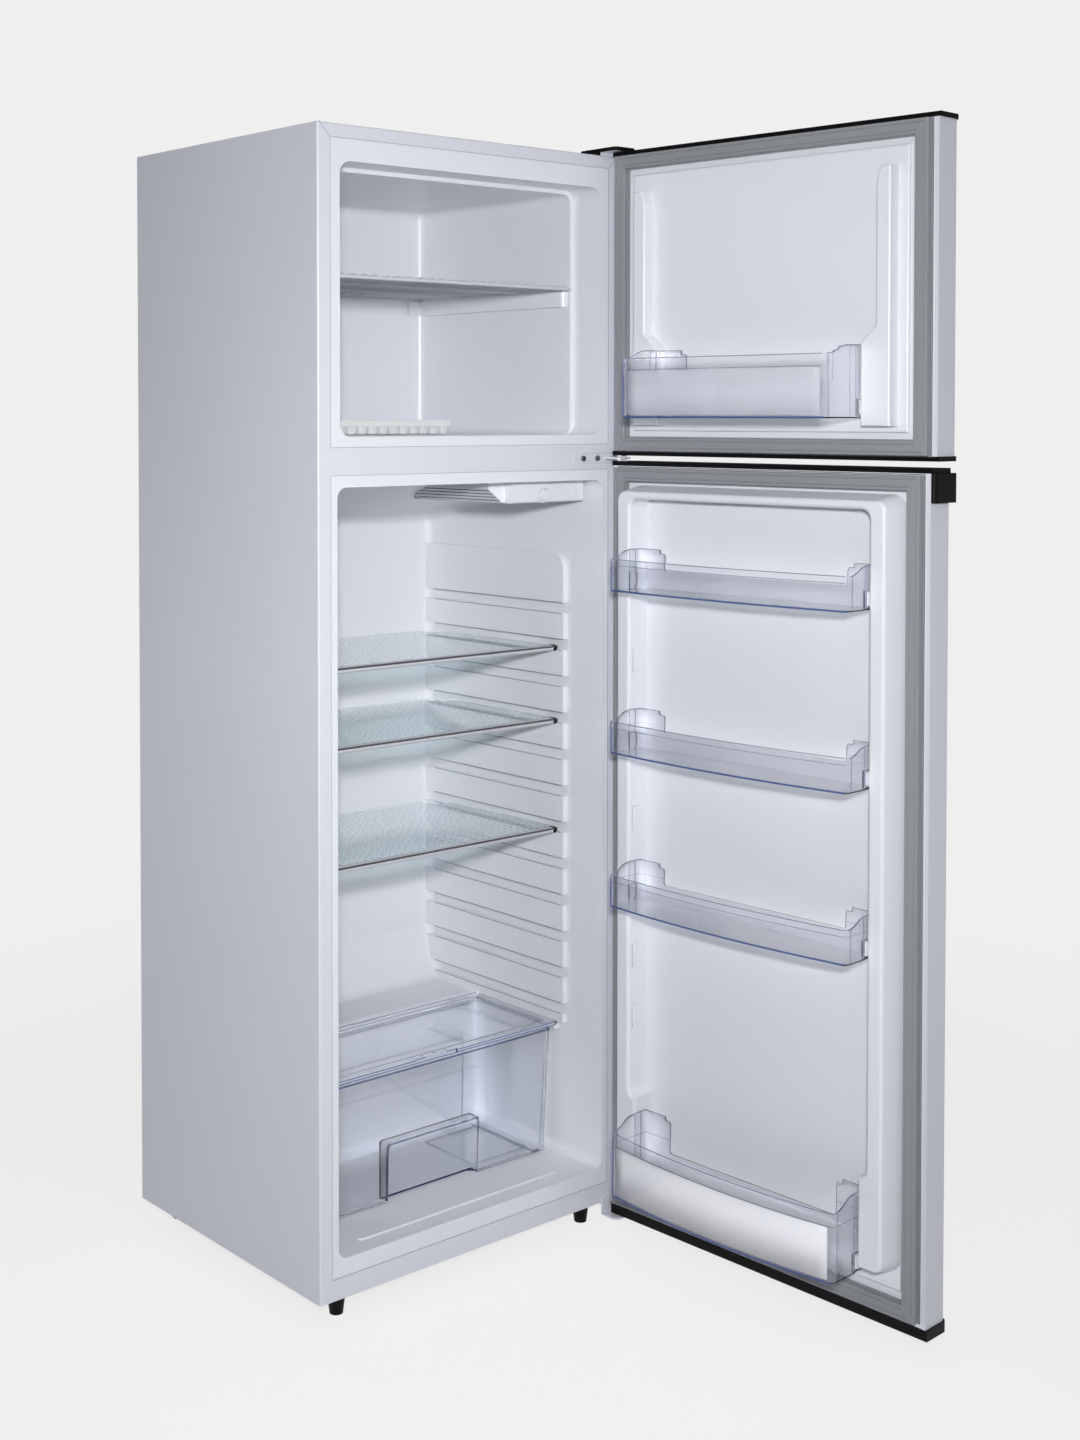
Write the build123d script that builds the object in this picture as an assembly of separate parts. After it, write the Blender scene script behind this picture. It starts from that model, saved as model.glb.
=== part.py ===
from build123d import *
import math
import os

# Everything is in millimetres. Cabinet frame while modelling: x = 0 on the centre plane, y = 0 on the
# front face of the cabinet with +y to the back, z = 0 on the floor. Doors are drawn closed, then opened.

# Cabinet
cabinet_width = 560.0
cabinet_depth = 472.0
body_height = 1600.0
foot_height = 33.0
shell_sheet = 0.6
shell_bend = 2.5
top_field_rise = 0.4
top_field_margin = 15.0
top_field_hinge_margin = 60.0
side_flange = 21.0
top_flange = 18.5
rear_flange = 14.0
base_sheet = 1.2
bottom_rail_height = 29.4
mullion_rail_height = 37.5
mullion_channel = 20.0
mullion_channel_depth = 14.0

# Insulation, floor to top
base_insulation = 54.0
fridge_share = 0.66
mullion_insulation = 68.5
top_insulation = 49.0
rear_insulation = 48.0
freezer_rear_insulation = 45.0
liner_wall = 2.0
liner_lap = 8.0
lip_radius = 1.5
rest_gap = 0.3

# Freezer compartment
freezer_side = 45.0
freezer_throat_side = 37.0
freezer_throat_depth = 60.0
freezer_ceiling_step = 6.0
freezer_throat_corner = 18.0
freezer_corner = 13.0
ledge_height = 23.5
ledge_proud = 9.0
ledge_front = 66.0
ledge_share = 0.588
ledge_wrap = 30.0

# Refrigerator compartment
fridge_side = 32.0
fridge_corner = 18.0
ceiling_flat = 150.0
ceiling_drop = 70.0
hump_height = 206.0
hump_depth = 184.0
hump_slope_depth = 32.0
hump_slope_height = 84.0
rib_proud = 8.0
rib_front = 80.0
rib_top_below_ceiling = 117.0
rib_corner = 24.0
groove_height = 17.0
groove_pitch = 57.0
groove_start = 76.0
floor_ridge_width = 380.0
floor_ridge_front = 38.0

# Shelves
glass_thickness = 5.0
glass_front = 96.0
glass_back_gap = 27.0
glass_groove_entry = 6.0
glass_rear_notch = 40.0
glass_grooves = (1, 3, 6)
trim_thickness = 1.5
trim_height = 9.0
trim_depth = 12.0
shelf_wire = 2.6
shelf_bar = 5.0
wire_pitch = 20.0
wire_shelf_side = 7.0
wire_shelf_front = 52.0
wire_shelf_back_gap = 5.0

# Crisper
crisper_wall = 2.2
crisper_side = 14.0
crisper_draft = 2.3
crisper_front = 97.0
crisper_back_gap = 4.0
crisper_height = 195.0
crisper_grip_width = 172.0
crisper_grip_height = 85.0
crisper_grip_depth = 22.0
crisper_corner = 14.0
crisper_bottom_edge = 6.0
crisper_runner_height = 3.0
crisper_runner_width = 12.0
crisper_runner_inset = 28.0
crisper_step_depth = 18.0
crisper_step_height = 88.0
cover_thickness = 6.0
cover_side = 6.0
cover_rim = 16.0
cover_notch = 78.0
cover_ledge = 8.0
cover_ledge_width = 10.0

# Ice tray
tray_length = 240.0
tray_width = 100.0
tray_height = 21.5
tray_wall = 2.0
tray_cells = 12
tray_rows = 2
tray_front = 200.0
tray_centre = -4.0

# Control housing under the refrigerator ceiling
housing_width = 146.0
housing_side = 10.0
housing_front = 33.0
housing_length = 232.0
housing_drop = 33.0
housing_wall = 2.0
lens_width = 32.0
lens_slant = 20.0
lens_wall = 1.6
lens_front = 48.0
lens_length = 196.0
knob_side = 91.5
knob_radius = 9.0
knob_thickness = 5.0
knob_shaft = 2.5
switch_side = 26.0
switch_width = 12.0
switch_height = 7.0
switch_proud = 1.6
switch_travel = 1.4
bulb_radius = 6.0

# Doors
door_thickness = 46.0
door_gap = 12.0
door_edge = 6.0
door_skin = 0.6
door_return = 5.0
door_liner_wall = 2.0
doors_apart = 8.7
doors_apart_below_middle = 1.4
door_over_top = 3.8
door_below_body = 13.6
cap_height = 6.6
cap_proud = 2.5
gasket_outer_inset = 10.0
gasket_band = 23.0
gasket_clearance = 0.3
freezer_gasket_margin = 8.0
fridge_gasket_margin = 9.5
fridge_gasket_bottom = 22.0
freezer_door_angle = 94.6
fridge_door_angle = 93.1

# Door liners
freezer_step_inset = 42.0
freezer_step_height = 5.0
pillar_height = 25.0
pillar_side = 58.0
pillar_width = 22.0
pillar_low_width = 46.0
pillar_kink = 180.0
pillar_top_margin = 66.0
pillar_bottom_margin = 46.0
dyke_gasket_gap = 2.0
dyke_height = 40.6
dyke_width = 33.0
dyke_top_width = 20.0
dyke_crest = 5.0
dyke_draft = 12.0
dyke_low_width = 46.0
dyke_low_height = 130.0
dyke_floor_gap = 9.4
fridge_step_margin = 10.0
fridge_step_height = 5.0

# Door bins
bin_wall = 2.0
bin_floor = 2.0
bin_back = 3.0
bin_depth = 72.0
bin_bow = 13.0
bin_front_height = 47.0
bin_end_height = 59.0
bin_shares = (0.8494, 0.6241, 0.41)
bottle_bin_depth = 80.0
bottle_bin_bow = 16.0
bottle_bin_rise = 9.0
bottle_bin_front_height = 94.0
bottle_bin_end_height = 109.0
freezer_bin_depth = 92.0
freezer_bin_rise = 56.8
freezer_bin_front_height = 85.0
freezer_bin_end_height = 98.0
bin_ear_width = 50.0
bin_ear_crown = 40.0
bin_ear_drop = 6.0
bin_ear_share = 0.4
bin_rim_share = 0.19
bin_rim_step = 0.8
bin_corner = 9.0
bin_bottom_edge = 2.0
lug_width = 12.0
lug_height = 24.0
lug_proud = 4.0
lug_back = 18.0

# Hinges
pin_inset = 10.4
pin_y = -23.6
pin_radius = 4.0
pin_depth = 14.0
pin_clearance = 0.05
boss_radius = 8.0
hinge_sheet = 3.0
top_hinge_width = 36.0
top_hinge_length = 70.0
top_cover_wall = 1.5
top_cover_height = 10.0
middle_plate_width = 74.0
middle_plate_height = 15.0
middle_plate_sheet = 2.0
bottom_plate_width = 30.0
bottom_leg_length = 58.0
screw_radius = 2.4
screw_head = 4.5
screw_head_height = 3.2
screw_length = 9.0

# Feet, rollers and machinery
foot_side = 48.5
foot_y = 30.0
foot_top_radius = 13.0
foot_sole_radius = 9.5
foot_stem_radius = 4.0
foot_stem_length = 15.0
insert_radius = 7.0
roller_side = 45.0
roller_back = 32.0
roller_radius = 15.0
roller_width = 16.0
roller_axle = 3.0
bracket_sheet = 2.0
niche_depth = 152.0
niche_height = 228.0
niche_sheet = 1.0
niche_side = 22.0
compressor_x = 60.0
compressor_length = 180.0
compressor_width = 126.0
compressor_height = 160.0
mount_radius = 10.0
mount_height = 12.0
tube_radius = 3.2
drier_radius = 9.0
drier_length = 110.0

# Derived levels and planes
half = cabinet_width / 2
fridge_height = fridge_share * body_height
bottom = foot_height
top = bottom + body_height
flange_edge = half - side_flange
fridge_floor = bottom + base_insulation
fridge_ceiling = fridge_floor + fridge_height
freezer_floor = fridge_ceiling + mullion_insulation
freezer_top = top - top_insulation
mullion_middle = (fridge_ceiling + freezer_floor) / 2
mullion_low = mullion_middle + 1 - mullion_rail_height / 2
mullion_high = mullion_low + mullion_rail_height
rear_inside = cabinet_depth - shell_sheet
panel_front = rear_inside - shell_sheet
base_top = bottom + base_sheet
niche_top = bottom + niche_height
door_outer = -(door_gap + door_thickness)
liner_plane = -(door_gap + door_skin)
gap_middle = mullion_middle - doors_apart_below_middle
freezer_door_low = gap_middle + doors_apart / 2
freezer_door_high = top + door_over_top
fridge_door_low = bottom - door_below_body
fridge_door_high = gap_middle - doors_apart / 2
fridge_half = half - fridge_side
fridge_back = cabinet_depth - rear_insulation
freezer_half = half - freezer_side
freezer_back = cabinet_depth - freezer_rear_insulation
hump_front = cabinet_depth - hump_depth
niche_front = cabinet_depth - niche_depth
ledge_level = ledge_share * (freezer_top - freezer_floor)
pin_x = half - pin_inset
foot_x = half - foot_side
roller_x = half - roller_side
roller_y = cabinet_depth - roller_back
glass_back = fridge_back - glass_back_gap
rib_face = fridge_half - rib_proud
rib_top = fridge_ceiling - rib_top_below_ceiling
rib_bottom = fridge_floor + hump_height

parts = {}


def block(x, y, z):
    size = (x[1] - x[0], y[1] - y[0], z[1] - z[0])
    return Pos((x[0] + x[1]) / 2, (y[0] + y[1]) / 2, (z[0] + z[1]) / 2) * Box(*size)


def rod(radius, start, end):
    axis = Vector(*end) - Vector(*start)
    plane = Plane(Vector(*start), z_dir=axis)
    return plane * Cylinder(radius, axis.length, align=(Align.CENTER, Align.CENTER, Align.MIN))


def both_sides(piece):
    return [piece, mirror(piece, about=Plane.YZ)]


def rounded(block_solid, axis, radius):
    return fillet(block_solid.edges().filter_by(axis), radius)


def screw(head_centre, direction):
    start = Vector(*head_centre)
    step = Vector(*direction)
    plane = Plane(start, z_dir=step)
    head = plane * extrude(RegularPolygon(screw_head, 6), -screw_head_height)
    shank = rod(screw_radius, start, (start + step * screw_length))
    return head + shank


def screw_hole(head_centre, direction):
    start = Vector(*head_centre)
    end = start + Vector(*direction) * (screw_length + rest_gap)
    return rod(screw_radius + pin_clearance, start, end)


# Screw places, each the centre of the underside of the head and the way the shank points
middle_screw_places = [((x, -middle_plate_sheet, gap_middle), (0, 1, 0))
                       for x in (flange_edge - 54.7, flange_edge - 25.6)]
top_screw_places = [((pin_x - 8.0, y, top + hinge_sheet), (0, 0, -1)) for y in (12.0, 34.0)]
bottom_leg_low = bottom - hinge_sheet
bottom_screw_places = [((pin_x - 7.0, y, bottom_leg_low), (0, 0, 1)) for y in (20.0, 44.0)]


# Cabinet shell and frame

def outer_shell():
    outer = block((-half, half), (0, cabinet_depth), (bottom, top))
    inner = block((-half + shell_sheet, half - shell_sheet), (shell_sheet, rear_inside),
                  (bottom - 1, top - shell_sheet))
    uprights = outer.edges().filter_by(Axis.Z).group_by(Axis.Y)[0]
    outer = fillet(uprights + outer.faces().sort_by(Axis.Z)[-1].edges().group_by(Axis.Y)[0], shell_bend)
    uprights = inner.edges().filter_by(Axis.Z).group_by(Axis.Y)[0]
    crest = inner.faces().sort_by(Axis.Z)[-1].edges().group_by(Axis.Y)[0]
    inner = fillet(uprights + crest, shell_bend - shell_sheet)
    front = block((-flange_edge, flange_edge), (-1, shell_sheet + 3), (bottom - 1, top - top_flange))
    rear_edge = half - rear_flange
    rear = block((-rear_edge, rear_edge), (rear_inside - 1, cabinet_depth + 1),
                 (bottom - 1, top - rear_flange))
    field = block((-half + top_field_margin, half - top_field_hinge_margin),
                  (top_field_margin, cabinet_depth - top_field_margin), (top - shell_sheet / 2, top + top_field_rise))
    shell = outer - inner - front - rear + rounded(field, Axis.Z, 10)
    for place in top_screw_places:
        shell -= screw_hole(*place)
    return shell


def back_panel():
    edge = half - shell_sheet
    panel = block((-edge, edge), (panel_front, rear_inside), (base_top, top - shell_sheet))
    return panel - niche_space(0)


def base_pan():
    edge = half - shell_sheet
    pan = block((-edge, edge), (shell_sheet, rear_inside), (bottom, base_top))
    pan = fillet(pan.edges().filter_by(Axis.Z).group_by(Axis.Y)[0], shell_bend - shell_sheet)
    for x in (-foot_x, foot_x):
        pan += Pos(x, foot_y, 0) * Pos(0, 0, base_top) * Cylinder(
            insert_radius, foot_stem_length + 2, align=(Align.CENTER, Align.CENTER, Align.MIN))
        pan -= rod(foot_stem_radius + pin_clearance, (x, foot_y, bottom - 1),
                   (x, foot_y, base_top + foot_stem_length + 1))
    for place in bottom_screw_places:
        pan -= screw_hole(*place)
    return pan


def mullion_rail():
    web = block((-flange_edge, flange_edge), (0, shell_sheet), (mullion_low, mullion_high))
    low = gap_middle - mullion_channel / 2
    channel = block((-flange_edge, flange_edge), (shell_sheet, mullion_channel_depth),
                    (low, low + mullion_channel))
    hollow = block((-flange_edge, flange_edge), (shell_sheet, mullion_channel_depth + 1),
                   (low + base_sheet, low + mullion_channel - base_sheet))
    rail = web + (channel - hollow)
    for place in middle_screw_places:
        rail -= screw_hole(*place)
    return rail


def mullion_pocket():
    low = gap_middle - mullion_channel / 2
    return block((-flange_edge, flange_edge), (shell_sheet, mullion_channel_depth),
                 (low, low + mullion_channel))


def bottom_rail():
    web = block((-flange_edge, flange_edge), (0, shell_sheet), (bottom, bottom + bottom_rail_height))
    return web


# Liners: a volume is the space inside a liner, moved out by grow for its outer face

def freezer_volume(grow):
    throat_half = half - freezer_throat_side + grow
    main_half = freezer_half + grow
    throat = block((-throat_half, throat_half), (shell_sheet, freezer_throat_depth + grow),
                   (freezer_floor - grow, freezer_top + grow))
    throat = rounded(throat, Axis.Y, freezer_throat_corner + grow)
    main = block((-main_half, main_half), (shell_sheet, freezer_back + grow),
                 (freezer_floor - grow, freezer_top - freezer_ceiling_step + grow))
    edges = main.edges().filter_by(Axis.Y) + main.faces().sort_by(Axis.Y)[-1].edges()
    return throat + fillet(edges, freezer_corner + grow)


def freezer_ledges():
    wall = freezer_half
    low = freezer_floor + ledge_level - ledge_height
    side = block((wall - ledge_proud, wall + 1), (ledge_front, freezer_back + 1), (low, low + ledge_height))
    side = fillet(side.edges().filter_by(Axis.Z).group_by(Axis.X)[0].sort_by(Axis.Y)[0], ledge_proud - 1)
    wrap = block((wall - ledge_wrap, wall + 1), (freezer_back - ledge_proud, freezer_back + 1),
                 (low, low + ledge_height))
    return Compound(both_sides(side + wrap))


def fridge_profile():
    wall_low = rib_bottom + hump_slope_height
    points = [(-30, fridge_floor), (hump_front, fridge_floor), (hump_front, rib_bottom),
              (fridge_back - hump_slope_depth, rib_bottom),
              (fridge_back - hump_slope_depth * 0.4, rib_bottom + hump_slope_height * 0.36),
              (fridge_back, wall_low), (fridge_back, fridge_ceiling - ceiling_drop),
              (ceiling_flat, fridge_ceiling), (-30, fridge_ceiling)]
    face = make_face(Polyline(*points, close=True))
    return fillet(face.vertices().sort_by(Axis.X)[2:], fridge_corner)


def fridge_volume(grow):
    face = fridge_profile()
    if grow:
        face = offset(face, grow)
    width = fridge_half + grow
    solid = extrude(Plane.YZ * face, width, both=True)
    rims = solid.faces().sort_by(Axis.X)[0].edges() + solid.faces().sort_by(Axis.X)[-1].edges()
    rims = [edge for edge in rims if edge.center().Y > -20]
    solid = fillet(rims, fridge_corner - 3 + grow)
    keep = block((-half, half), (shell_sheet, cabinet_depth), (bottom, top))
    return solid & keep


def groove_levels():
    count = int((rib_top - groove_start - 1.2 * groove_height - rib_bottom) / groove_pitch) + 1
    return [rib_top - groove_start - groove_pitch * number for number in range(count)]


def fridge_ribs():
    rib = block((rib_face, fridge_half + 1), (rib_front, fridge_back + 1), (rib_bottom, rib_top))
    rib = fillet(rib.edges().filter_by(Axis.X).group_by(Axis.Y)[0].sort_by(Axis.Z)[-1], rib_corner)
    for level in groove_levels():
        rib -= block((rib_face - 1, fridge_half), (rib_front - 1, fridge_back + 2),
                     (level - groove_height, level))
    return Compound(both_sides(rib))


def cover_ledges():
    wall = fridge_half
    side = block((wall - cover_ledge_width, wall + 1), (crisper_front, hump_front + 1),
                 (rib_bottom - cover_ledge - cover_thickness, rib_bottom - cover_thickness))
    return Compound(both_sides(side))


def floor_ridge():
    width = floor_ridge_width
    ridge = Pos(0, floor_ridge_front, fridge_floor) * extrude(SlotOverall(width, 14), 2.0, taper=35)
    return ridge


def liner_flange(low, high):
    return block((-flange_edge - liner_lap, flange_edge + liner_lap),
                 (shell_sheet, shell_sheet + liner_wall), (low, high))


def freezer_flange():
    return liner_flange(gap_middle + mullion_channel / 2, top - top_flange + liner_lap)


def fridge_flange():
    return liner_flange(bottom + bottom_rail_height - liner_lap, gap_middle - mullion_channel / 2)


def freezer_liner():
    inside = freezer_volume(0)
    liner = freezer_volume(liner_wall) + freezer_flange() - inside
    return liner + (freezer_ledges() & inside)


def fridge_liner():
    inside = fridge_volume(0)
    liner = fridge_volume(liner_wall) + fridge_flange() - inside
    for feature in (fridge_ribs(), cover_ledges(), floor_ridge()):
        liner += feature & inside
    return liner


def niche_space(inset):
    edge = half - niche_side - inset
    return block((-edge, edge), (niche_front - niche_sheet + inset, rear_inside), (base_top, niche_top - inset))


def niche_plate():
    return niche_space(0) - niche_space(niche_sheet)


def foam_insulation():
    edge = half - shell_sheet
    foam = block((-edge, edge), (shell_sheet, panel_front), (base_top, top - shell_sheet))
    edges = foam.edges().filter_by(Axis.Z).group_by(Axis.Y)[0]
    edges += foam.faces().sort_by(Axis.Z)[-1].edges().group_by(Axis.Y)[0]
    foam = fillet(edges, shell_bend - shell_sheet)
    foam -= niche_space(0)
    foam -= freezer_volume(liner_wall)
    foam -= fridge_volume(liner_wall)
    foam -= freezer_flange()
    foam -= fridge_flange()
    foam -= mullion_pocket()
    for x in (-foot_x, foot_x):
        foam -= rod(insert_radius, (x, foot_y, bottom), (x, foot_y, base_top + foot_stem_length + 2))
    for place in bottom_screw_places + top_screw_places:
        foam -= screw_hole(*place)
    return foam


# Hinges

def pin_at(low, high):
    return rod(pin_radius, (pin_x, pin_y, low), (pin_x, pin_y, high))


def top_hinge():
    left, right = pin_x - top_hinge_width + 9, pin_x + 9
    plate = block((left, right), (2, top_hinge_length - 30), (top, top + hinge_sheet))
    over_low = freezer_door_high + 0.9
    over = block((left, right), (pin_y - 9, 2), (over_low, over_low + hinge_sheet))
    over = fillet(over.edges().filter_by(Axis.Z).group_by(Axis.Y)[0], 8)
    riser = block((left, right), (2, 2 + hinge_sheet), (top, over_low + hinge_sheet))
    plate = plate + riser + over + pin_at(freezer_door_high - pin_depth, over_low + hinge_sheet)
    for place in top_screw_places:
        plate -= screw_hole(*place)
    return plate


def top_hinge_cover():
    left, right = pin_x - top_hinge_width + 6, half + 2.5
    crown = top + top_cover_height
    low = freezer_door_high + 0.5
    front, rear = pin_y - 12, top_hinge_length - 26
    outer = block((left, right), (front, rear), (top, crown))
    outer = rounded(outer, Axis.Z, 6)
    crown_edges = outer.faces().sort_by(Axis.Z)[-1].edges()
    outer = fillet(crown_edges, 1.2)
    wall = top_cover_wall
    inner = block((left + wall, right - wall), (front + wall, rear - wall), (top - 1, crown - wall))
    inner = rounded(inner, Axis.Z, 6 - wall)
    cover = outer - inner
    cover -= block((left - 1, right + 1), (front - 1, -0.5), (top - 1, low))
    return cover - block((half, right + 1), (front - 1, rear + 1), (top - 1, top + 0.01))


def middle_hinge():
    right = flange_edge + 3
    low = gap_middle - middle_plate_height / 2
    plate = block((right - middle_plate_width, right), (-middle_plate_sheet, 0),
                  (low, low + middle_plate_height))
    plate = fillet(plate.edges().filter_by(Axis.Y), 2)
    arm_low = gap_middle - hinge_sheet / 2
    arm = block((right - 14, pin_x + 9), (pin_y - 9, -middle_plate_sheet), (arm_low, arm_low + hinge_sheet))
    arm = fillet(arm.edges().filter_by(Axis.Z).group_by(Axis.Y)[0], 8)
    pin = pin_at(fridge_door_high - pin_depth, freezer_door_low + pin_depth)
    hinge = plate + arm + pin
    for place in middle_screw_places:
        hinge -= screw_hole(*place)
    return hinge


def bottom_hinge():
    left, right = pin_x - bottom_plate_width + 8, pin_x + 8
    arm_low = fridge_door_low - 1.4 - hinge_sheet
    plate = block((left, right), (-hinge_sheet, 0), (arm_low, bottom + 8))
    plate = fillet(plate.edges().filter_by(Axis.Y).group_by(Axis.Z)[-1], 3)
    arm = block((left, right), (pin_y - 9, 0), (arm_low, arm_low + hinge_sheet))
    arm = fillet(arm.edges().filter_by(Axis.Z).group_by(Axis.Y)[0], 8)
    leg = block((left, right), (-hinge_sheet, bottom_leg_length), (bottom_leg_low, bottom))
    hinge = plate + arm + leg + pin_at(arm_low, fridge_door_low + pin_depth)
    for place in bottom_screw_places:
        hinge -= screw_hole(*place)
    return hinge


def hinge_screws():
    places = top_screw_places + middle_screw_places + bottom_screw_places
    return Compound([screw(*place) for place in places])


# Feet and rollers

def foot(x):
    flare = Plane.XZ * make_face(Polyline(
        (0, 0), (foot_sole_radius, 0), (foot_top_radius, foot_height - 4),
        (foot_top_radius, foot_height - rest_gap), (foot_stem_radius, foot_height - rest_gap),
        (foot_stem_radius, base_top + foot_stem_length), (0, base_top + foot_stem_length), close=True))
    return Pos(x, foot_y, 0) * revolve(flare, Axis.Z)


def roller(x):
    wheel = rod(roller_radius, (x - roller_width / 2, roller_y, roller_radius),
                (x + roller_width / 2, roller_y, roller_radius))
    wheel = fillet(wheel.edges(), 2)
    return wheel - rod(roller_axle + pin_clearance, (x - roller_width, roller_y, roller_radius),
                       (x + roller_width, roller_y, roller_radius))


def roller_bracket(x):
    inside = roller_width / 2 + 0.5
    outside = inside + bracket_sheet
    reach = roller_axle + 6
    bracket = block((x - outside, x + outside), (roller_y - 16, roller_y + 16), (roller_radius - reach, bottom))
    bracket = fillet(bracket.edges().filter_by(Axis.X).group_by(Axis.Z)[0], 8)
    bracket -= block((x - inside, x + inside), (roller_y - 17, roller_y + 17),
                     (0, bottom - bracket_sheet))
    bracket -= rod(roller_radius + 0.6, (x - inside, roller_y, roller_radius),
                   (x + inside, roller_y, roller_radius))
    return bracket + rod(roller_axle, (x - outside - 1, roller_y, roller_radius),
                         (x + outside + 1, roller_y, roller_radius))


# Machinery in the niche at the lower back

compressor_y = (niche_front + rear_inside) / 2
mount_spread = (compressor_length / 2 - 4, compressor_width / 2 - 8)
plate_low = base_top + mount_height
shell_low = plate_low - 4
shell_high = shell_low + compressor_height


def compressor():
    length, width = compressor_length, compressor_width
    plan = Ellipse(length / 2, width / 2)
    can = extrude(plan, compressor_height)
    can = fillet(can.edges().group_by(Axis.Z)[-1], 30)
    can = fillet(can.edges().group_by(Axis.Z)[0], 14)
    seam = Pos(0, 0, compressor_height * 0.55) * extrude(Ellipse(length / 2 + 4, width / 2 + 4), 4)
    body = Pos(compressor_x, compressor_y, shell_low) * (can + seam)
    reach = mount_spread[0] + 14
    plate = block((compressor_x - reach, compressor_x + reach),
                  (compressor_y - width / 2 + 2, compressor_y + width / 2 - 2), (plate_low, plate_low + 2.5))
    body += rounded(plate, Axis.Z, 12)
    pad_out = compressor_x - length / 2 - 8
    body += block((pad_out, compressor_x - length / 2 + 12), (compressor_y - 14, compressor_y + 14),
                  (shell_low + 40, shell_low + 80))
    for x, y in mount_places():
        body -= rod(mount_radius * 0.55, (x, y, plate_low - 1), (x, y, plate_low + 4))
    return body


def mount_places():
    return [(compressor_x + sx * mount_spread[0], compressor_y + sy * mount_spread[1])
            for sx in (-1, 1) for sy in (-1, 1)]


def compressor_mounts():
    mounts = []
    for x, y in mount_places():
        lower = rod(mount_radius, (x, y, base_top), (x, y, plate_low))
        neck = rod(mount_radius * 0.55 - pin_clearance, (x, y, plate_low), (x, y, plate_low + 2.5))
        mounts.append(lower + neck)
    return Compound(mounts)


def relay_box():
    right = compressor_x - compressor_length / 2 - 8
    case = block((right - 38, right), (compressor_y - 24, compressor_y + 24), (shell_low + 28, shell_low + 92))
    return fillet(case.edges().filter_by(Axis.X) + case.edges().group_by(Axis.X)[0], 4)


def drip_tray():
    low = shell_high
    outer = block((compressor_x - 80, compressor_x + 80), (compressor_y - 56, compressor_y + 56),
                  (low, low + 26))
    inner = block((compressor_x - 78, compressor_x + 78), (compressor_y - 54, compressor_y + 54),
                  (low + 2, low + 27))
    return rounded(outer, Axis.Z, 16) - rounded(inner, Axis.Z, 14)


def tube(points, radius, bend):
    path = FilletPolyline(*points, radius=bend)
    return sweep(Plane(path @ 0, z_dir=path % 0) * Circle(radius), path=path)


drier_x = compressor_x - compressor_length / 2 - 100


def filter_drier():
    body = rod(drier_radius, (drier_x, compressor_y, base_top + 60),
               (drier_x, compressor_y, base_top + 60 + drier_length))
    body = fillet(body.edges(), 5)
    return body


def refrigerant_tubes():
    roof = niche_top - niche_sheet
    drier_low, drier_high = base_top + 60, base_top + 60 + drier_length
    left = compressor_x - compressor_length / 2 - 70
    x_right = compressor_x + compressor_length / 2 + 40
    shell_x = compressor_x + compressor_length / 2
    suction = tube([(shell_x, compressor_y, shell_low + 70), (x_right, compressor_y, shell_low + 70),
                    (x_right, compressor_y, roof)], tube_radius, 18)
    capillary = rod(tube_radius, (drier_x, compressor_y, drier_high), (drier_x, compressor_y, roof))
    inlet = tube([(drier_x, compressor_y, drier_low), (drier_x, compressor_y, drier_low - 34),
                  (left, compressor_y, drier_low - 34), (left, niche_front, drier_low - 34)], tube_radius, 12)
    return Compound([suction, capillary, inlet])


# Control housing with thermostat, knob, lamp and door switch

housing_right = fridge_half - housing_side
housing_left = housing_right - housing_width
knob_x = fridge_half - knob_side
switch_x = fridge_half - switch_side
knob_z = fridge_ceiling - housing_drop / 2 - 5
switch_z = knob_z
housing_low = fridge_ceiling - housing_drop


def housing_solid(wall, left, right):
    solid = block((left + wall, right - wall), (housing_front + wall, housing_front + housing_length - wall),
                  (housing_low + wall, fridge_ceiling + 5))
    return solid


def thermostat_housing():
    outer = housing_solid(0, housing_left, housing_right)
    outer = fillet(outer.edges().filter_by(Axis.X).group_by(Axis.Z)[0].sort_by(Axis.Y)[0], 4)
    inner = housing_solid(housing_wall, housing_left, housing_right)
    case = outer - inner
    recess = rod(knob_radius + 1.5, (knob_x, housing_front - 1, knob_z), (knob_x, housing_front + 3, knob_z))
    cup = rod(knob_radius + 3.0, (knob_x, housing_front, knob_z), (knob_x, housing_front + 4.5, knob_z))
    cup -= recess
    case = case - recess + cup
    case -= rod(knob_shaft + pin_clearance, (knob_x, housing_front, knob_z),
                (knob_x, housing_front + 8, knob_z))
    gap = rest_gap
    case -= block((switch_x - switch_width / 2 - gap, switch_x + switch_width / 2 + gap),
                  (housing_front - 1, housing_front + 10),
                  (switch_z - switch_height / 2 - gap, switch_z + switch_height / 2 + gap))
    return case & fridge_volume(0)


def lens_solid(wall):
    left = housing_left - lens_width
    low = housing_low + 2 + wall
    points = [(left + wall, fridge_ceiling + 5), (left + wall, low + lens_slant),
              (housing_left - 6, low), (housing_left - wall, low), (housing_left - wall, fridge_ceiling + 5)]
    face = Plane.XZ * make_face(Polyline(*points, close=True))
    length = lens_length - 2 * wall
    return Pos(0, lens_front + wall, 0) * extrude(face, -length)


def lamp_cover():
    return (lens_solid(0) - lens_solid(lens_wall)) & fridge_volume(0)


def lamp_bulb():
    centre = (housing_left - lens_width / 2 + 2, lens_front + 40, fridge_ceiling - 14)
    glass = Pos(*centre) * Sphere(bulb_radius)
    neck = rod(bulb_radius * 0.6, centre, (centre[0], centre[1] + 18, centre[2]))
    base = rod(bulb_radius * 0.75, (centre[0], centre[1] + 16, centre[2]), (centre[0], centre[1] + 34, centre[2]))
    holder = block((centre[0] - 4, centre[0] + 6), (centre[1] + 34, centre[1] + 44),
                   (centre[2] - 4, fridge_ceiling + 1))
    return (glass + neck + base + holder) & fridge_volume(0)


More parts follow.
